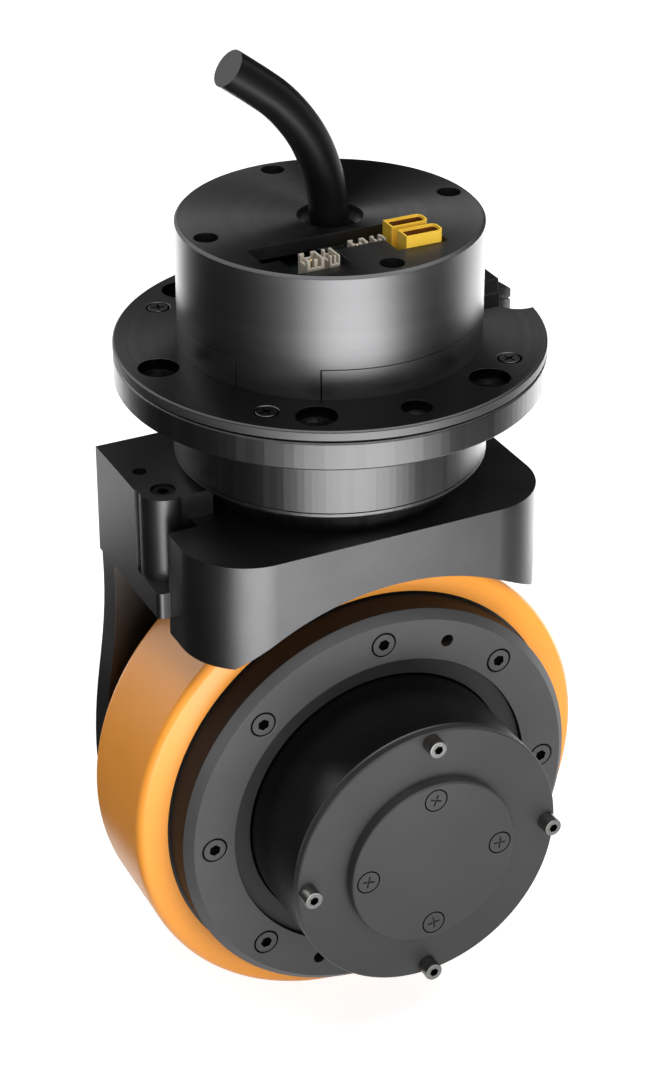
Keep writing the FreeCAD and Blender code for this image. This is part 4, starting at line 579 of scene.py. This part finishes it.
def turned_black(name, tone, roughness, ringed, centre=ORIGIN, along_y=False):
    """Black anodised metal with the fine rings of turning."""
    finish = Finish(name, near_black(tone), 1.0, roughness, Anisotropic=ringed)
    place = finish.turned_place(centre, along_y)
    marks = finish.effect(LATHE_MARKS, place, Feed=0.0009)
    finish.tint(marks["Tone"], dark=0.92, light=1.08)
    finish.vary_roughness(marks["Tone"], spread=0.02)
    finish.bump(marks["Height"], depth=0.000002, strength=0.4)
    finish.ringed("Y" if along_y else "Z")
    return finish.material


def banded_black(name, tone, roughness, count, radius):
    """Black anodised metal ground in many narrow flats round its edge."""
    finish = Finish(name, near_black(tone), 1.0, roughness)
    place = finish.turned_place()
    bands = finish.effect(GROUND_BANDS, place, Count=count)
    finish.tint(bands["Tone"], dark=0.93, light=1.07)
    finish.vary_roughness(bands["Tone"], spread=0.015)
    hollow = radius * (1 - math.cos(math.pi / count))
    finish.bump(bands["Height"], depth=hollow, strength=0.6)
    return finish.material


def bare_metal(name, colour, roughness, along_y=False, centre=ORIGIN):
    """Uncoated steel with the fine rings of turning or grinding."""
    finish = Finish(name, colour, 1.0, roughness)
    marks = finish.effect(LATHE_MARKS, finish.turned_place(centre, along_y), Feed=0.0004)
    finish.tint(marks["Tone"], dark=0.85, light=1.1)
    finish.vary_roughness(marks["Tone"], spread=0.05)
    finish.bump(marks["Height"], depth=0.000003, strength=0.5)
    return finish.material


def grained_metal(name, colour, roughness):
    """Plated, hardened or enamelled metal with a fine grain."""
    finish = Finish(name, colour, 1.0, roughness)
    grain = finish.effect(BLASTED_GRAIN, finish.place, Grain_Scale=1800.0, Cloud_Scale=90.0)
    finish.tint(grain["Cloud"], dark=0.8, light=1.15)
    finish.vary_roughness(grain["Cloud"], spread=0.06)
    finish.bump(grain["Height"], depth=0.00001, strength=0.4)
    return finish.material


def moulded(name, colour, roughness, specular, peel, spread, depth=0.00001, **others):
    """Rubber or plastic. The depth is that of its orange peel, and the spread that of its tone."""
    finish = Finish(name, colour, 0.0, roughness, specular, **others)
    skin = finish.effect(MOULDED_SKIN, finish.place, Peel_Scale=peel)
    finish.tint(skin["Dust"], dark=1.0 - spread, light=1.0 + spread)
    finish.vary_roughness(skin["Dust"], spread=0.05)
    finish.bump(skin["Height"], depth=depth, strength=0.6)
    return finish.material


# A tone or colour is the share of light that comes back, and a radius is in metres
MATERIALS = {
    "casing": turned_black("turned_black_casing", tone=0.11, roughness=0.38, ringed=0.2),
    "roof": turned_black("turned_black_roof", tone=0.085, roughness=0.42, ringed=0.9),
    "flange_top": turned_black("turned_black_flange", tone=0.07, roughness=0.36, ringed=0.9),
    "collar": banded_black(
        "black_collar_bands", tone=0.085, roughness=0.38, count=100.0, radius=0.0468,
    ),
    "flange": banded_black(
        "black_flange_bands", tone=0.082, roughness=0.38, count=144.0, radius=0.064,
    ),
    "yoke": blasted_black("blasted_black_yoke", tone=0.085, roughness=0.40),
    "ring": blasted_black(
        "blasted_black_ring", tone=0.064, roughness=0.5, metallic=0.2, specular=0.3,
    ),
    # Painted shade: the front ring's side faces, in near-black brown with almost no gloss
    "ring_side_shade": moulded(
        "painted_shade_ring_side", (0.030, 0.024, 0.020), roughness=0.5, specular=0.05, peel=500.0,
        spread=0.15,
    ),
    "cap": blasted_black(
        "blasted_black_cap", tone=0.036, roughness=0.5, metallic=0.2, specular=0.3,
    ),
    "barrel": turned_black(
        "turned_black_barrel", tone=0.05, roughness=0.36, ringed=0.2, centre=AXLE_CENTRE,
        along_y=True,
    ),
    "tyre": moulded(
        "cast_orange_tyre", (0.93, 0.35, 0.042), roughness=0.36, specular=0.45, peel=300.0,
        spread=0.04, depth=0.00003, Coat_Weight=0.1, Coat_Roughness=0.25,
    ),
    "rim": turned_black(
        "turned_black_rim", tone=0.06, roughness=0.4, ringed=0.3, centre=AXLE_CENTRE,
        along_y=True,
    ),
    "cable": moulded(
        "black_cable_jacket", (0.004, 0.004, 0.004), roughness=0.34, specular=0.15, peel=500.0,
        spread=0.2, depth=0.00002,
    ),
    "seal": moulded(
        "black_seal_rubber", (0.012, 0.012, 0.012), roughness=0.6, specular=0.4, peel=700.0,
        spread=0.2, depth=0.00002,
    ),
    "sensor": moulded(
        "black_sensor_housing", (0.009, 0.009, 0.010), roughness=0.5, specular=0.2, peel=600.0,
        spread=0.15,
    ),
    "yellow": moulded(
        "yellow_connector", (0.95, 0.60, 0.06), roughness=0.22, specular=0.6, peel=900.0,
        spread=0.05,
    ),
    # Painted shade: the dark brown inside the yellow connectors' wells
    "well_shade": moulded(
        "painted_shade_connector_well", (0.16, 0.05, 0.008), roughness=0.4, specular=0.4, peel=900.0,
        spread=0.25,
    ),
    "beige": moulded(
        "beige_signal_socket", (0.42, 0.38, 0.32), roughness=0.5, specular=0.4, peel=900.0,
        spread=0.15,
    ),
    "board": moulded(
        "dark_circuit_board", (0.008, 0.012, 0.010), roughness=0.35, specular=0.5, peel=700.0,
        spread=0.2,
    ),
    # Near-black painted shade, for the gaps round screw heads and the walls and floors of their recesses
    "gap": moulded(
        "painted_shade_screw_gap", (0.002, 0.002, 0.002), roughness=0.9, specular=0.0, peel=900.0,
        spread=0.3,
    ),
    "stainless": bare_metal("stainless_screw", (0.17, 0.17, 0.165), 0.36, along_y=True),
    "bearing_steel": bare_metal("ground_bearing_steel", (0.55, 0.55, 0.56), 0.2),
    "drive_bearing_steel": bare_metal(
        "ground_wheel_bearing_steel", (0.55, 0.55, 0.56), 0.2, along_y=True, centre=AXLE_CENTRE,
    ),
    "black_screw": grained_metal("black_oxide_screw", (0.022, 0.022, 0.024), 0.38),
    "gear_steel": grained_metal("hardened_gear_steel", (0.30, 0.29, 0.28), 0.34),
    "magnet": grained_metal("nickel_plated_magnet", (0.58, 0.56, 0.52), 0.25),
    "winding": grained_metal("enamelled_copper_winding", (0.62, 0.26, 0.10), 0.35),
    "pin": grained_metal("gold_plated_contact", (0.80, 0.58, 0.22), 0.25),
}

# The finish of each solid that stays as it is
NODE_FINISHES = {
    "casing_screws": "black_screw",
    "hollow_shaft": "bearing_steel",
    "steer_stator": "winding",
    "controller_board": "board",
    "steer_ring_gear": "gear_steel",
    "crossed_bearing_outer": "bearing_steel",
    "bearing_rollers": "bearing_steel",
    "steer_rotor_bearings": "bearing_steel",
    "steer_rotor_hub": "gear_steel",
    "steer_magnets": "magnet",
    "steer_sun_gear": "gear_steel",
    "steer_planet_1": "gear_steel",
    "steer_planet_2": "gear_steel",
    "steer_planet_3": "gear_steel",
    "planet_carrier": "gear_steel",
    "steer_planet_pins": "bearing_steel",
    "crossed_bearing_inner": "bearing_steel",
    "yoke_screws": "black_screw",
    "yoke_dowels": "bearing_steel",
    "drive_stator": "winding",
    "drive_shaft_bearings": "drive_bearing_steel",
    "drive_carrier": "gear_steel",
    "drive_planet_pins": "drive_bearing_steel",
    "carrier_bolts": "black_screw",
    "wheel_bearing_inner_rings": "drive_bearing_steel",
    "wheel_rim": "rim",
    "drive_ring_gear": "gear_steel",
    "wheel_bearing_outer_rings": "drive_bearing_steel",
    "drive_rotor": "gear_steel",
    "drive_magnets": "magnet",
    "drive_sun_gear": "gear_steel",
    "drive_planet_1": "gear_steel",
    "drive_planet_2": "gear_steel",
    "drive_planet_3": "gear_steel",
}


def paint_inner_parts():
    """Every solid that stays gets its finish."""
    for node, finish in NODE_FINISHES.items():
        give(frame["nodes"][node], MATERIALS[finish])


# The black castings and turned parts

# Each solid, its finish and the width of its eased edges in millimetres
EASED_PARTS = (
    ("casing", "casing", 0.15),
    ("motor_base_ring", "casing", 0.08),
    ("flange_cover", "flange_top", 0.15),
    ("bearing_housing", "flange", 0.2),
    ("bearing_retainer", "collar", 0.15),
    ("output_flange", "collar", 0.2),
    ("yoke_bridge", "yoke", 0.3),
    ("yoke_arm", "yoke", 0.25),
    ("motor_housing", "barrel", 0.15),
    ("motor_cap", "cap", 0.2),
    ("encoder_cover", "cap", 0.2),
    ("front_ring", "ring", 0.15),
    ("dust_seal", "seal", 0.15),
    ("rear_cover", "barrel", 0.15),
    ("wheel_rear_cover", "rim", 0.15),
    ("sensor_block", "sensor", 0.25),
    ("cable_grommet", "seal", 0.15),
)


# How far faces are moved so that a seam shows as a dark line, and what is near enough to a place
SEAM = 0.2 * MM
NARROW_SEAM = SEAM * 0.8
CLOSE = 0.2 * MM

# The front wall of the roof's notch, its two ends, and the way up to the power connectors
NOTCH_FRONT = -33.0 * MM
NOTCH_LEFT = 5 * MM
NOTCH_RIGHT = 22 * MM
NOTCH_MOVE = 1.1 * MM

# The motor base ring's top, and the direction of each end of its gap with the side it looks to
RING_TOP = 21.6 * MM
RING_GAP_ENDS = ((-152.0, -1), (-119.5, 1))

# The flange cover's underside lies below the first height, the retainer's top above the second
COVER_UNDERSIDE = 8.8 * MM
RETAINER_TOP = -23.1 * MM


def draw_back(piece, wanted, way):
    """Moves the faces that pass the test, so that a seam beside them shows as a dark line."""
    edit(piece)
    pick_faces(piece, wanted)
    bpy.ops.transform.translate(value=way)
    done_editing()


def close_notch(casing):
    """Brings the front wall of the roof's notch up to the power connectors."""
    draw_back(casing, lambda centre, normal: (
        abs(normal.y) > 0.7
        and abs(centre.y - NOTCH_FRONT) < CLOSE
        and NOTCH_LEFT < centre.x < NOTCH_RIGHT
    ), (0, NOTCH_MOVE, 0))


def open_ring_seam(ring):
    """A line above the ring, and one beside each end of its gap."""
    draw_back(ring, lambda centre, normal: (
        normal.z > 0.5 and centre.z > RING_TOP - CLOSE
    ), (0, 0, -SEAM))
    for direction, side in RING_GAP_ENDS:
        turn = math.radians(direction)
        outwards = Vector((math.cos(turn), math.sin(turn), 0.0))
        along = Vector((-math.sin(turn), math.cos(turn), 0.0))
        draw_back(ring, lambda centre, normal: (
            abs(centre.dot(along)) < 0.3 * MM
            and centre.dot(outwards) > 0
            and abs(normal.dot(along)) > 0.7
        ), along * side * SEAM)


def open_cover_seam(cover):
    draw_back(cover, lambda centre, normal: (
        normal.z < -0.5 and centre.z < COVER_UNDERSIDE
    ), (0, 0, NARROW_SEAM))


def open_retainer_seam(retainer):
    draw_back(retainer, lambda centre, normal: (
        normal.z > 0.5 and centre.z > RETAINER_TOP
    ), (0, 0, -NARROW_SEAM))


SEAMS = {
    "casing": close_notch,
    "motor_base_ring": open_ring_seam,
    "flange_cover": open_cover_seam,
    "bearing_retainer": open_retainer_seam,
}


def make_black_parts():
    pieces = {}
    for node, finish, ease in EASED_PARTS:
        pieces[node] = eased_copy(node, MATERIALS[finish], ease, SEAMS.get(node))
    give_second(pieces["casing"], MATERIALS["roof"], lambda centre, normal: normal.z > 0.5)
    # The front ring's side faces get their painted shade
    give_second(pieces["front_ring"], MATERIALS["ring_side_shade"], lambda centre, normal: abs(normal.y) < 0.3)


# Screws, with every size in millimetres

SHANK_RADIUS = 1.5


def inwards(along):
    """The way from a screw's face into the part, back along Y or down along Z."""
    return 1 if along == "Y" else -1


def screw_body(name, along, rings):
    """A turned screw with its face at the origin. Each ring is a radius and a depth."""
    way = inwards(along)
    profile = [(radius * MM, way * depth * MM) for radius, depth in rings]
    return solid_turned(name, profile, 40, ORIGIN, along)


def hex_recess(screw, along, radius, depth):
    way = inwards(along)
    profile = [(radius * MM, -way * MM), (radius * MM, way * depth * MM)]
    cut_away(screw, solid_turned("hex_tool", profile, 6, ORIGIN, along))


def cross_recess(screw, along, reach, half_slot, depth):
    for wide, tall in ((reach, half_slot), (half_slot, reach)):
        if along == "Y":
            cut_away(screw, block("cross_tool", (-wide, -1, -tall), (wide, depth, tall)))
        else:
            cut_away(screw, block("cross_tool", (-wide, -tall, -depth), (wide, tall, 1)))


def paint_recess_shade(screw, along, radius):
    """Painted shade: the walls and floor of a recess get a near-black finish."""
    way = inwards(along)
    axis = 1 if along == "Y" else 2
    others = [number for number in range(3) if number != axis]
    mouth = 0.2 * MM
    bottom = 2.0 * MM
    give_second(screw, MATERIALS["gap"], lambda centre, normal: (
        mouth < centre[axis] * way < bottom
        and math.hypot(centre[others[0]], centre[others[1]]) < radius * MM
    ))


def set_screws(node, master, along, turns):
    """A copy of the master screw in the place of each of the node's screws, all as one piece."""
    copies = []
    for number, (low, high) in enumerate(loose_boxes(node)):
        middle = (low + high) / 2
        if along == "Y":
            face = Vector((middle.x, low.y, middle.z))
        else:
            face = Vector((middle.x, middle.y, high.z))
        turn = Matrix.Rotation(math.radians(turns[number % len(turns)]), 4, along)
        copies.append(moved_copy(master, f"{node}_{number}", Matrix.Translation(face) @ turn))
    bpy.data.objects.remove(master)
    piece = join_pieces(copies, node + "_detailed")
    stand_for(piece, frame["nodes"][node]["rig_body"], node)


def sunk_screw(name, along, radius, gap, head_finish):
    """A countersunk screw whose head is smaller than its countersink by the gap."""
    edge = radius - gap
    head = screw_body(name, along, [
        (edge - 0.15, 0.0),
        (edge, 0.12),
        (edge, 0.45),
        (SHANK_RADIUS, edge - 1.0),
        (SHANK_RADIUS, 8.0),
    ])
    give(head, MATERIALS[head_finish])
    return head


def add_painted_shade_ring(screw, along, radius, gap, front=0.22):
    """The bottom of the gap round a screw's head in near-black painted shade, at a depth below its face.
    """
    way = inwards(along)
    back = front + 0.14
    inner = radius - gap - 0.1
    profile = [
        (inner * MM, way * front * MM),
        ((radius - 0.2) * MM, way * front * MM),
        ((radius - 0.3) * MM, way * back * MM),
        (inner * MM, way * back * MM),
    ]
    ring = turned("painted_shade_ring", profile, 40, ORIGIN, along)
    give(ring, MATERIALS["gap"])
    return join_pieces([screw, ring], screw.name)


def make_ring_screws():
    radius = 4.3
    gap = 0.75
    screw = sunk_screw("ring_screw", "Y", radius, gap, "ring")
    hex_recess(screw, "Y", radius=1.9, depth=1.0)
    paint_recess_shade(screw, "Y", radius=2.1)
    smooth(screw)
    screw = add_painted_shade_ring(screw, "Y", radius, gap)
    set_screws("ring_screws", screw, "Y", turns=(10, 28, 4, 47, 19, 36, 52, 14))


def make_encoder_screws():
    screw = screw_body("encoder_screw", "Y", [
        (3.35, -0.05),
        (3.45, 0.1),
        (SHANK_RADIUS, 2.0),
        (SHANK_RADIUS, 6.0),
    ])
    give(screw, MATERIALS["cap"])
    cross_recess(screw, "Y", reach=1.9, half_slot=0.26, depth=0.5)
    smooth(screw)
    # Here the painted shade ring reaches just in front of the cover's face, as a dark outline round the
    # head
    screw = add_painted_shade_ring(screw, "Y", radius=4.0, gap=0.55, front=-0.02)
    set_screws("encoder_cover_screws", screw, "Y", turns=(12, -8, 20, 5))


def make_flange_screws():
    radius = 3.85
    gap = 0.8
    screw = sunk_screw("flange_screw", "Z", radius, gap, "flange_top")
    cross_recess(screw, "Z", reach=1.9, half_slot=0.35, depth=1.2)
    smooth(screw)
    screw = add_painted_shade_ring(screw, "Z", radius, gap)
    set_screws("flange_screws", screw, "Z", turns=(8, -15, 22, 3, 30, -6))


def make_cap_screws():
    head_radius = 2.8
    head_height = 4.7
    screw = screw_body("cap_screw", "Y", [
        (2.3, 0.0),
        (2.68, 0.12),
        (head_radius, 0.4),
        (head_radius, head_height),
        (SHANK_RADIUS, head_height),
        (SHANK_RADIUS, 12.0),
    ])
    hex_recess(screw, "Y", radius=1.45, depth=1.3)
    smooth(screw)
    give(screw, MATERIALS["stainless"])
    paint_recess_shade(screw, "Y", radius=1.6)
    set_screws("cap_screws", screw, "Y", turns=(6, 21, -12, 33))


# Connectors, with every size in millimetres

def connector_shape(name, low, high, end_radius):
    """A block whose two upright edges at its right end are rounded, between two corners."""
    shape = block(name, low, high)
    edit(shape)
    right = high[0] * MM
    pick_edges(shape, lambda a, b: (
        abs(a.x - right) < PIECE_MERGE
        and abs(b.x - right) < PIECE_MERGE
        and abs(a.z - b.z) > 0.1 * MM
    ))
    bpy.ops.mesh.bevel(offset=end_radius * MM, segments=8, affect="EDGES")
    done_editing()
    return shape


def power_connector(name, low, high):
    """A yellow housing with a stepped rim, a well in dark brown painted shade and two gold blades."""
    rim = 0.6
    rim_depth = 0.6
    ledge = 0.75
    well_depth = 5.0
    x0, y0, z0 = low
    x1, y1, z1 = high
    housing = connector_shape(name, low, high, 1.9)
    cut_away(housing, connector_shape(
        "rim_tool", (x0 + rim, y0 + rim, z1 - rim_depth), (x1 - rim, y1 - rim, z1 + 1.0), 1.4,
    ))
    cut_away(housing, connector_shape(
        "well_tool", (x0 + ledge, y0 + ledge, z1 - well_depth), (x1 - ledge, y1 - ledge, z1), 1.1,
    ))
    ease_edges(housing, 0.12 * MM)
    smooth(housing)
    give(housing, MATERIALS["yellow"])
    # The walls and floor of the well are painted dark brown as shade
    give_second(housing, MATERIALS["well_shade"], lambda centre, normal: (
        (x0 + rim) * MM < centre.x < (x1 - rim) * MM
        and (y0 + rim) * MM < centre.y < (y1 - rim) * MM
        and centre.z < (z1 - rim_depth - 0.2) * MM
    ))
    half_length = 1.4
    half_width = 0.5
    blade_foot = z1 - well_depth - 0.2
    blade_top = z1 - 1.8
    y = (y0 + y1) / 2
    blades = []
    for share in (0.3, 0.7):
        x = x0 + (x1 - x0) * share
        blade = block(
            "connector_blade", (x - half_length, y - half_width, blade_foot),
            (x + half_length, y + half_width, blade_top),
        )
        ease_edges(blade, 0.2 * MM)
        give(blade, MATERIALS["pin"])
        blades.append(blade)
    return join_pieces([housing, *blades], name)


def make_power_connectors():
    housings = []
    for number, box in enumerate(loose_boxes("power_connectors")):
        corners = [[value / MM for value in corner] for corner in box]
        housings.append(power_connector(f"power_connector_{number}", *corners))
    piece = join_pieces(housings, "power_connectors_detailed")
    stand_for(piece, "base", "power_connectors")


def signal_socket(name, low, high):
    """A small open socket with notched walls and its pins, a little smaller than its solid."""
    wall = 0.7
    side_gap = 0.5
    top_gap = 0.9
    x0, y0, z0 = (value / MM for value in low)
    x1, y1, z1 = (value / MM for value in high)
    x0 += side_gap
    x1 -= side_gap
    z1 -= top_gap
    width = x1 - x0
    half_notch = width * 0.11
    over = 1.0
    top = z1 + over
    # The well, two notches in the front wall, one in the back wall and one in the left wall
    cuts = [((x0 + wall, y0 + wall, z1 - 5.0), (x1 - wall, y1 - wall, top))]
    for share in (0.3, 0.72):
        x = x0 + width * share
        cuts.append(((x - half_notch, y0 - over, z1 - 2.4), (x + half_notch, y0 + wall * 2, top)))
    cuts.append(((x0 + width * 0.3, y1 - wall * 2, z1 - 1.5), (x1 - width * 0.3, y1 + over, top)))
    cuts.append(((x0 - over, y0 + 1.4, z1 - 1.8), (x0 + wall * 2, y1 - 1.4, top)))
    body = block(name, (x0, y0, z0), (x1, y1, z1))
    for corners in cuts:
        cut_away(body, block("socket_tool", *corners))
    ease_edges(body, 0.12 * MM, 1)
    smooth(body)
    give(body, MATERIALS["beige"])
    half_pin = 0.25
    y = (y0 + y1) / 2
    count = 3 if width > 4.5 else 2
    pins = []
    for number in range(count):
        x = x0 + wall + (width - 2 * wall) * (number + 0.5) / count
        pin = block(
            "socket_pin", (x - half_pin, y - half_pin, z1 - 5.2),
            (x + half_pin, y + half_pin, z1 - 1.1),
        )
        ease_edges(pin, 0.12 * MM, 1)
        give(pin, MATERIALS["pin"])
        pins.append(pin)
    return join_pieces([body, *pins], name)


def make_signal_sockets():
    sockets = []
    for number, (low, high) in enumerate(loose_boxes("signal_connectors")):
        sockets.append(signal_socket(f"signal_socket_{number}", low, high))
    piece = join_pieces(sockets, "signal_sockets_detailed")
    stand_for(piece, "base", "signal_connectors")


# The cable

def make_cable():
    data = bpy.data.curves.new("motor_cable", "CURVE")
    data.dimensions = "3D"
    data.bevel_depth = CABLE_DIAMETER / 2
    data.bevel_resolution = 8
    data.resolution_u = 16
    data.use_fill_caps = True
    spline = data.splines.new("NURBS")
    spline.points.add(len(CABLE_ROUTE) - 1)
    for point, (x, z) in zip(spline.points, CABLE_ROUTE):
        point.co = (x, 0.0, z, 1.0)
    spline.order_u = 3
    spline.use_endpoint_u = True
    cable = bpy.data.objects.new("motor_cable", data)
    bpy.context.scene.collection.objects.link(cable)
    cable.data.materials.append(MATERIALS["cable"])
    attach(cable, "base")
    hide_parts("cable")


# The tyre

def make_tyre():
    """The cast tyre in its solid's box, with sloped sides and rounded shoulders."""
    low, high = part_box("tyre")
    front = low.y
    back = high.y
    outer = (high.z - low.z) / 2
    inner = outer - 9.0 * MM
    slope = 1.5 * MM
    shoulder = 2.4 * MM
    tyre = turned("cast_tyre", [
        (inner, front),
        (outer, front + slope),
        (outer, back - slope),
        (inner, back),
    ], 192, AXLE_CENTRE, "Y")
    edit(tyre)
    pick_edges(tyre, lambda a, b: (
        all(abs(math.hypot(p.x, p.z - AXLE_HEIGHT) - outer) < 0.2 * MM for p in (a, b))
        and abs(a.y - b.y) < 0.1 * MM
    ))
    bpy.ops.mesh.bevel(offset=shoulder, segments=6, affect="EDGES")
    done_editing()
    smooth(tyre, 40)
    give(tyre, MATERIALS["tyre"])
    stand_for(tyre, "wheel", "tyre")


# Floor, world and lamps, in metres

WORLD_LIGHT = 0.25
FLOOR_TONE = 0.58
SEEN_FLOOR_TONE = 0.62
SEEN_FLOOR_GLOW = 0.80
LAMP_AIM = Vector((0.0, 0.0, -0.03))


def white_for_eyes(tree, plain, white):
    """White where the camera, a reflection or a clear material sees it, and plain light elsewhere."""
    path = add(tree, "ShaderNodeLightPath")
    seen = maths(tree, "MAXIMUM", path.outputs["Is Camera Ray"], path.outputs["Is Glossy Ray"])
    seen = maths(tree, "MAXIMUM", seen, path.outputs["Is Transmission Ray"])
    mix = add(tree, "ShaderNodeMixShader")
    tree.links.new(seen, mix.inputs[0])
    tree.links.new(plain, mix.inputs[1])
    tree.links.new(white, mix.inputs[2])
    return mix.outputs[0]


def sky(tree, strength):
    node = add(tree, "ShaderNodeBackground")
    node.inputs["Color"].default_value = WHITE
    node.inputs["Strength"].default_value = strength
    return node.outputs[0]


def matt_grey(tree, tone):
    node = add(tree, "ShaderNodeBsdfDiffuse")
    node.inputs["Color"].default_value = (tone, tone, tone, 1.0)
    return node.outputs[0]


def empty_material(name):
    material = bpy.data.materials.new(name)
    material.use_nodes = True
    material.node_tree.nodes.clear()
    return material


def make_world():
    world = bpy.data.worlds.new("pale_studio")
    bpy.context.scene.world = world
    world.use_nodes = True
    tree = world.node_tree
    tree.nodes.clear()
    out = add(tree, "ShaderNodeOutputWorld")
    both = white_for_eyes(tree, sky(tree, WORLD_LIGHT), sky(tree, 1.0))
    tree.links.new(both, out.inputs["Surface"])


def make_floor():
    nothing_selected()
    bpy.ops.mesh.primitive_circle_add(
        vertices=96, radius=6.0, fill_type="NGON", location=(0, 0, FLOOR_HEIGHT),
    )
    floor = bpy.context.object
    floor.name = "pale_floor"
    material = empty_material("pale_floor")
    tree = material.node_tree
    glow = add(tree, "ShaderNodeEmission")
    glow.inputs["Strength"].default_value = SEEN_FLOOR_GLOW
    glowing = add(tree, "ShaderNodeAddShader")
    tree.links.new(matt_grey(tree, SEEN_FLOOR_TONE), glowing.inputs[0])
    tree.links.new(glow.outputs[0], glowing.inputs[1])
    out = add(tree, "ShaderNodeOutputMaterial")
    both = white_for_eyes(tree, matt_grey(tree, FLOOR_TONE), glowing.outputs[0])
    tree.links.new(both, out.inputs["Surface"])
    give(floor, material)


def place_around(azimuth, distance, height):
    """A place round the part's upright axis, at an azimuth in degrees from +X towards +Y."""
    turn = math.radians(azimuth)
    return Vector((distance * math.cos(turn), distance * math.sin(turn), height))


def area_lamp(name, width, tall, brightness):
    """A lamp whose face has the brightness given, where 1 is white."""
    data = bpy.data.lights.new(name, "AREA")
    data.shape = "RECTANGLE"
    data.size = width
    data.size_y = tall
    data.energy = brightness * math.pi * width * tall
    lamp = bpy.data.objects.new(name, data)
    bpy.context.scene.collection.objects.link(lamp)
    lamp.visible_camera = False
    return lamp


def soft_lamp(name, azimuth, distance, height, width, tall, brightness, mirrored=True):
    """A lamp that stands round the part and is aimed at it."""
    lamp = area_lamp(name, width, tall, brightness)
    lamp.location = place_around(azimuth, distance, height)
    look = LAMP_AIM - lamp.location
    lamp.rotation_euler = look.to_track_quat("-Z", "Y").to_euler()
    lamp.visible_glossy = mirrored


def light_from_below(name, azimuth, near, far, width, brightness, lights_matt=True):
    """A lamp on the floor that shines up, seen in the upright walls."""
    lamp = area_lamp(name, far - near, width, brightness)
    lamp.location = place_around(azimuth, (near + far) / 2, FLOOR_HEIGHT + 5 * MM)
    lamp.rotation_euler = (math.radians(180), 0.0, math.radians(azimuth))
    lamp.visible_diffuse = lights_matt


def shade_card(name, tone, centre, turn, size):
    """A card that only reflections see, as a studio puts beside a shiny part."""
    nothing_selected()
    bpy.ops.mesh.primitive_plane_add(size=1.0, location=centre, rotation=turn)
    card = bpy.context.object
    card.name = name
    card.scale = (*size, 1.0)
    material = empty_material(name)
    tree = material.node_tree
    glow = add(tree, "ShaderNodeEmission")
    glow.inputs["Color"].default_value = (tone, tone, tone, 1.0)
    out = add(tree, "ShaderNodeOutputMaterial")
    tree.links.new(glow.outputs[0], out.inputs["Surface"])
    give(card, material)
    card.visible_camera = False
    card.visible_diffuse = False
    card.visible_shadow = False


def standing_card(name, azimuth, distance, width, low, high, tone):
    centre = place_around(azimuth, distance, (low + high) / 2)
    turn = (math.radians(90), 0.0, math.radians(azimuth + 90))
    shade_card(name, tone, centre, turn, (width, high - low))


def laid_card(name, azimuth, near, far, width, tone):
    centre = place_around(azimuth, (near + far) / 2, FLOOR_HEIGHT + 1 * MM)
    shade_card(name, tone, centre, (0.0, 0.0, math.radians(azimuth)), (far - near, width))


def make_lamps():
    light_from_below(
        "front_floor_lamp", azimuth=-101, near=0.26, far=0.85, width=0.46, brightness=6.5,
    )
    light_from_below(
        "rim_floor_lamp", azimuth=26, near=0.28, far=0.85, width=0.48, brightness=3.2,
        lights_matt=False,
    )
    light_from_below(
        "left_rim_floor_lamp", azimuth=93, near=0.28, far=0.85, width=0.32, brightness=3.0,
        lights_matt=False,
    )
    soft_lamp(
        "front_box", azimuth=-78, distance=1.2, height=0.15, width=0.7, tall=0.7,
        brightness=5.2, mirrored=False,
    )
    soft_lamp(
        "back_left_box", azimuth=120, distance=1.1, height=0.45, width=0.60, tall=1.1,
        brightness=2.0,
    )
    soft_lamp(
        "overhead_box", azimuth=-80, distance=0.5, height=1.4, width=1.2, tall=1.2,
        brightness=3.4,
    )


def make_cards():
    laid_card("left_floor_card", azimuth=165, near=0.10, far=1.3, width=1.0, tone=0.03)
    standing_card(
        "left_card", azimuth=165, distance=1.3, width=1.9, low=-0.2, high=0.9, tone=0.02,
    )
    laid_card("right_floor_card", azimuth=-40, near=0.30, far=1.2, width=0.55, tone=0.07)
    standing_card(
        "right_card", azimuth=-38, distance=1.2, width=1.1, low=-0.2, high=0.9, tone=0.07,
    )
    standing_card(
        "behind_card", azimuth=50, distance=1.3, width=2.4, low=0.0, high=1.6, tone=0.02,
    )


make_camera()
make_cable()
paint_inner_parts()
make_black_parts()
make_tyre()
make_ring_screws()
make_encoder_screws()
make_flange_screws()
make_cap_screws()
make_power_connectors()
make_signal_sockets()
make_world()
make_floor()
make_lamps()
make_cards()

bpy.context.scene.view_settings.view_transform = "Standard"
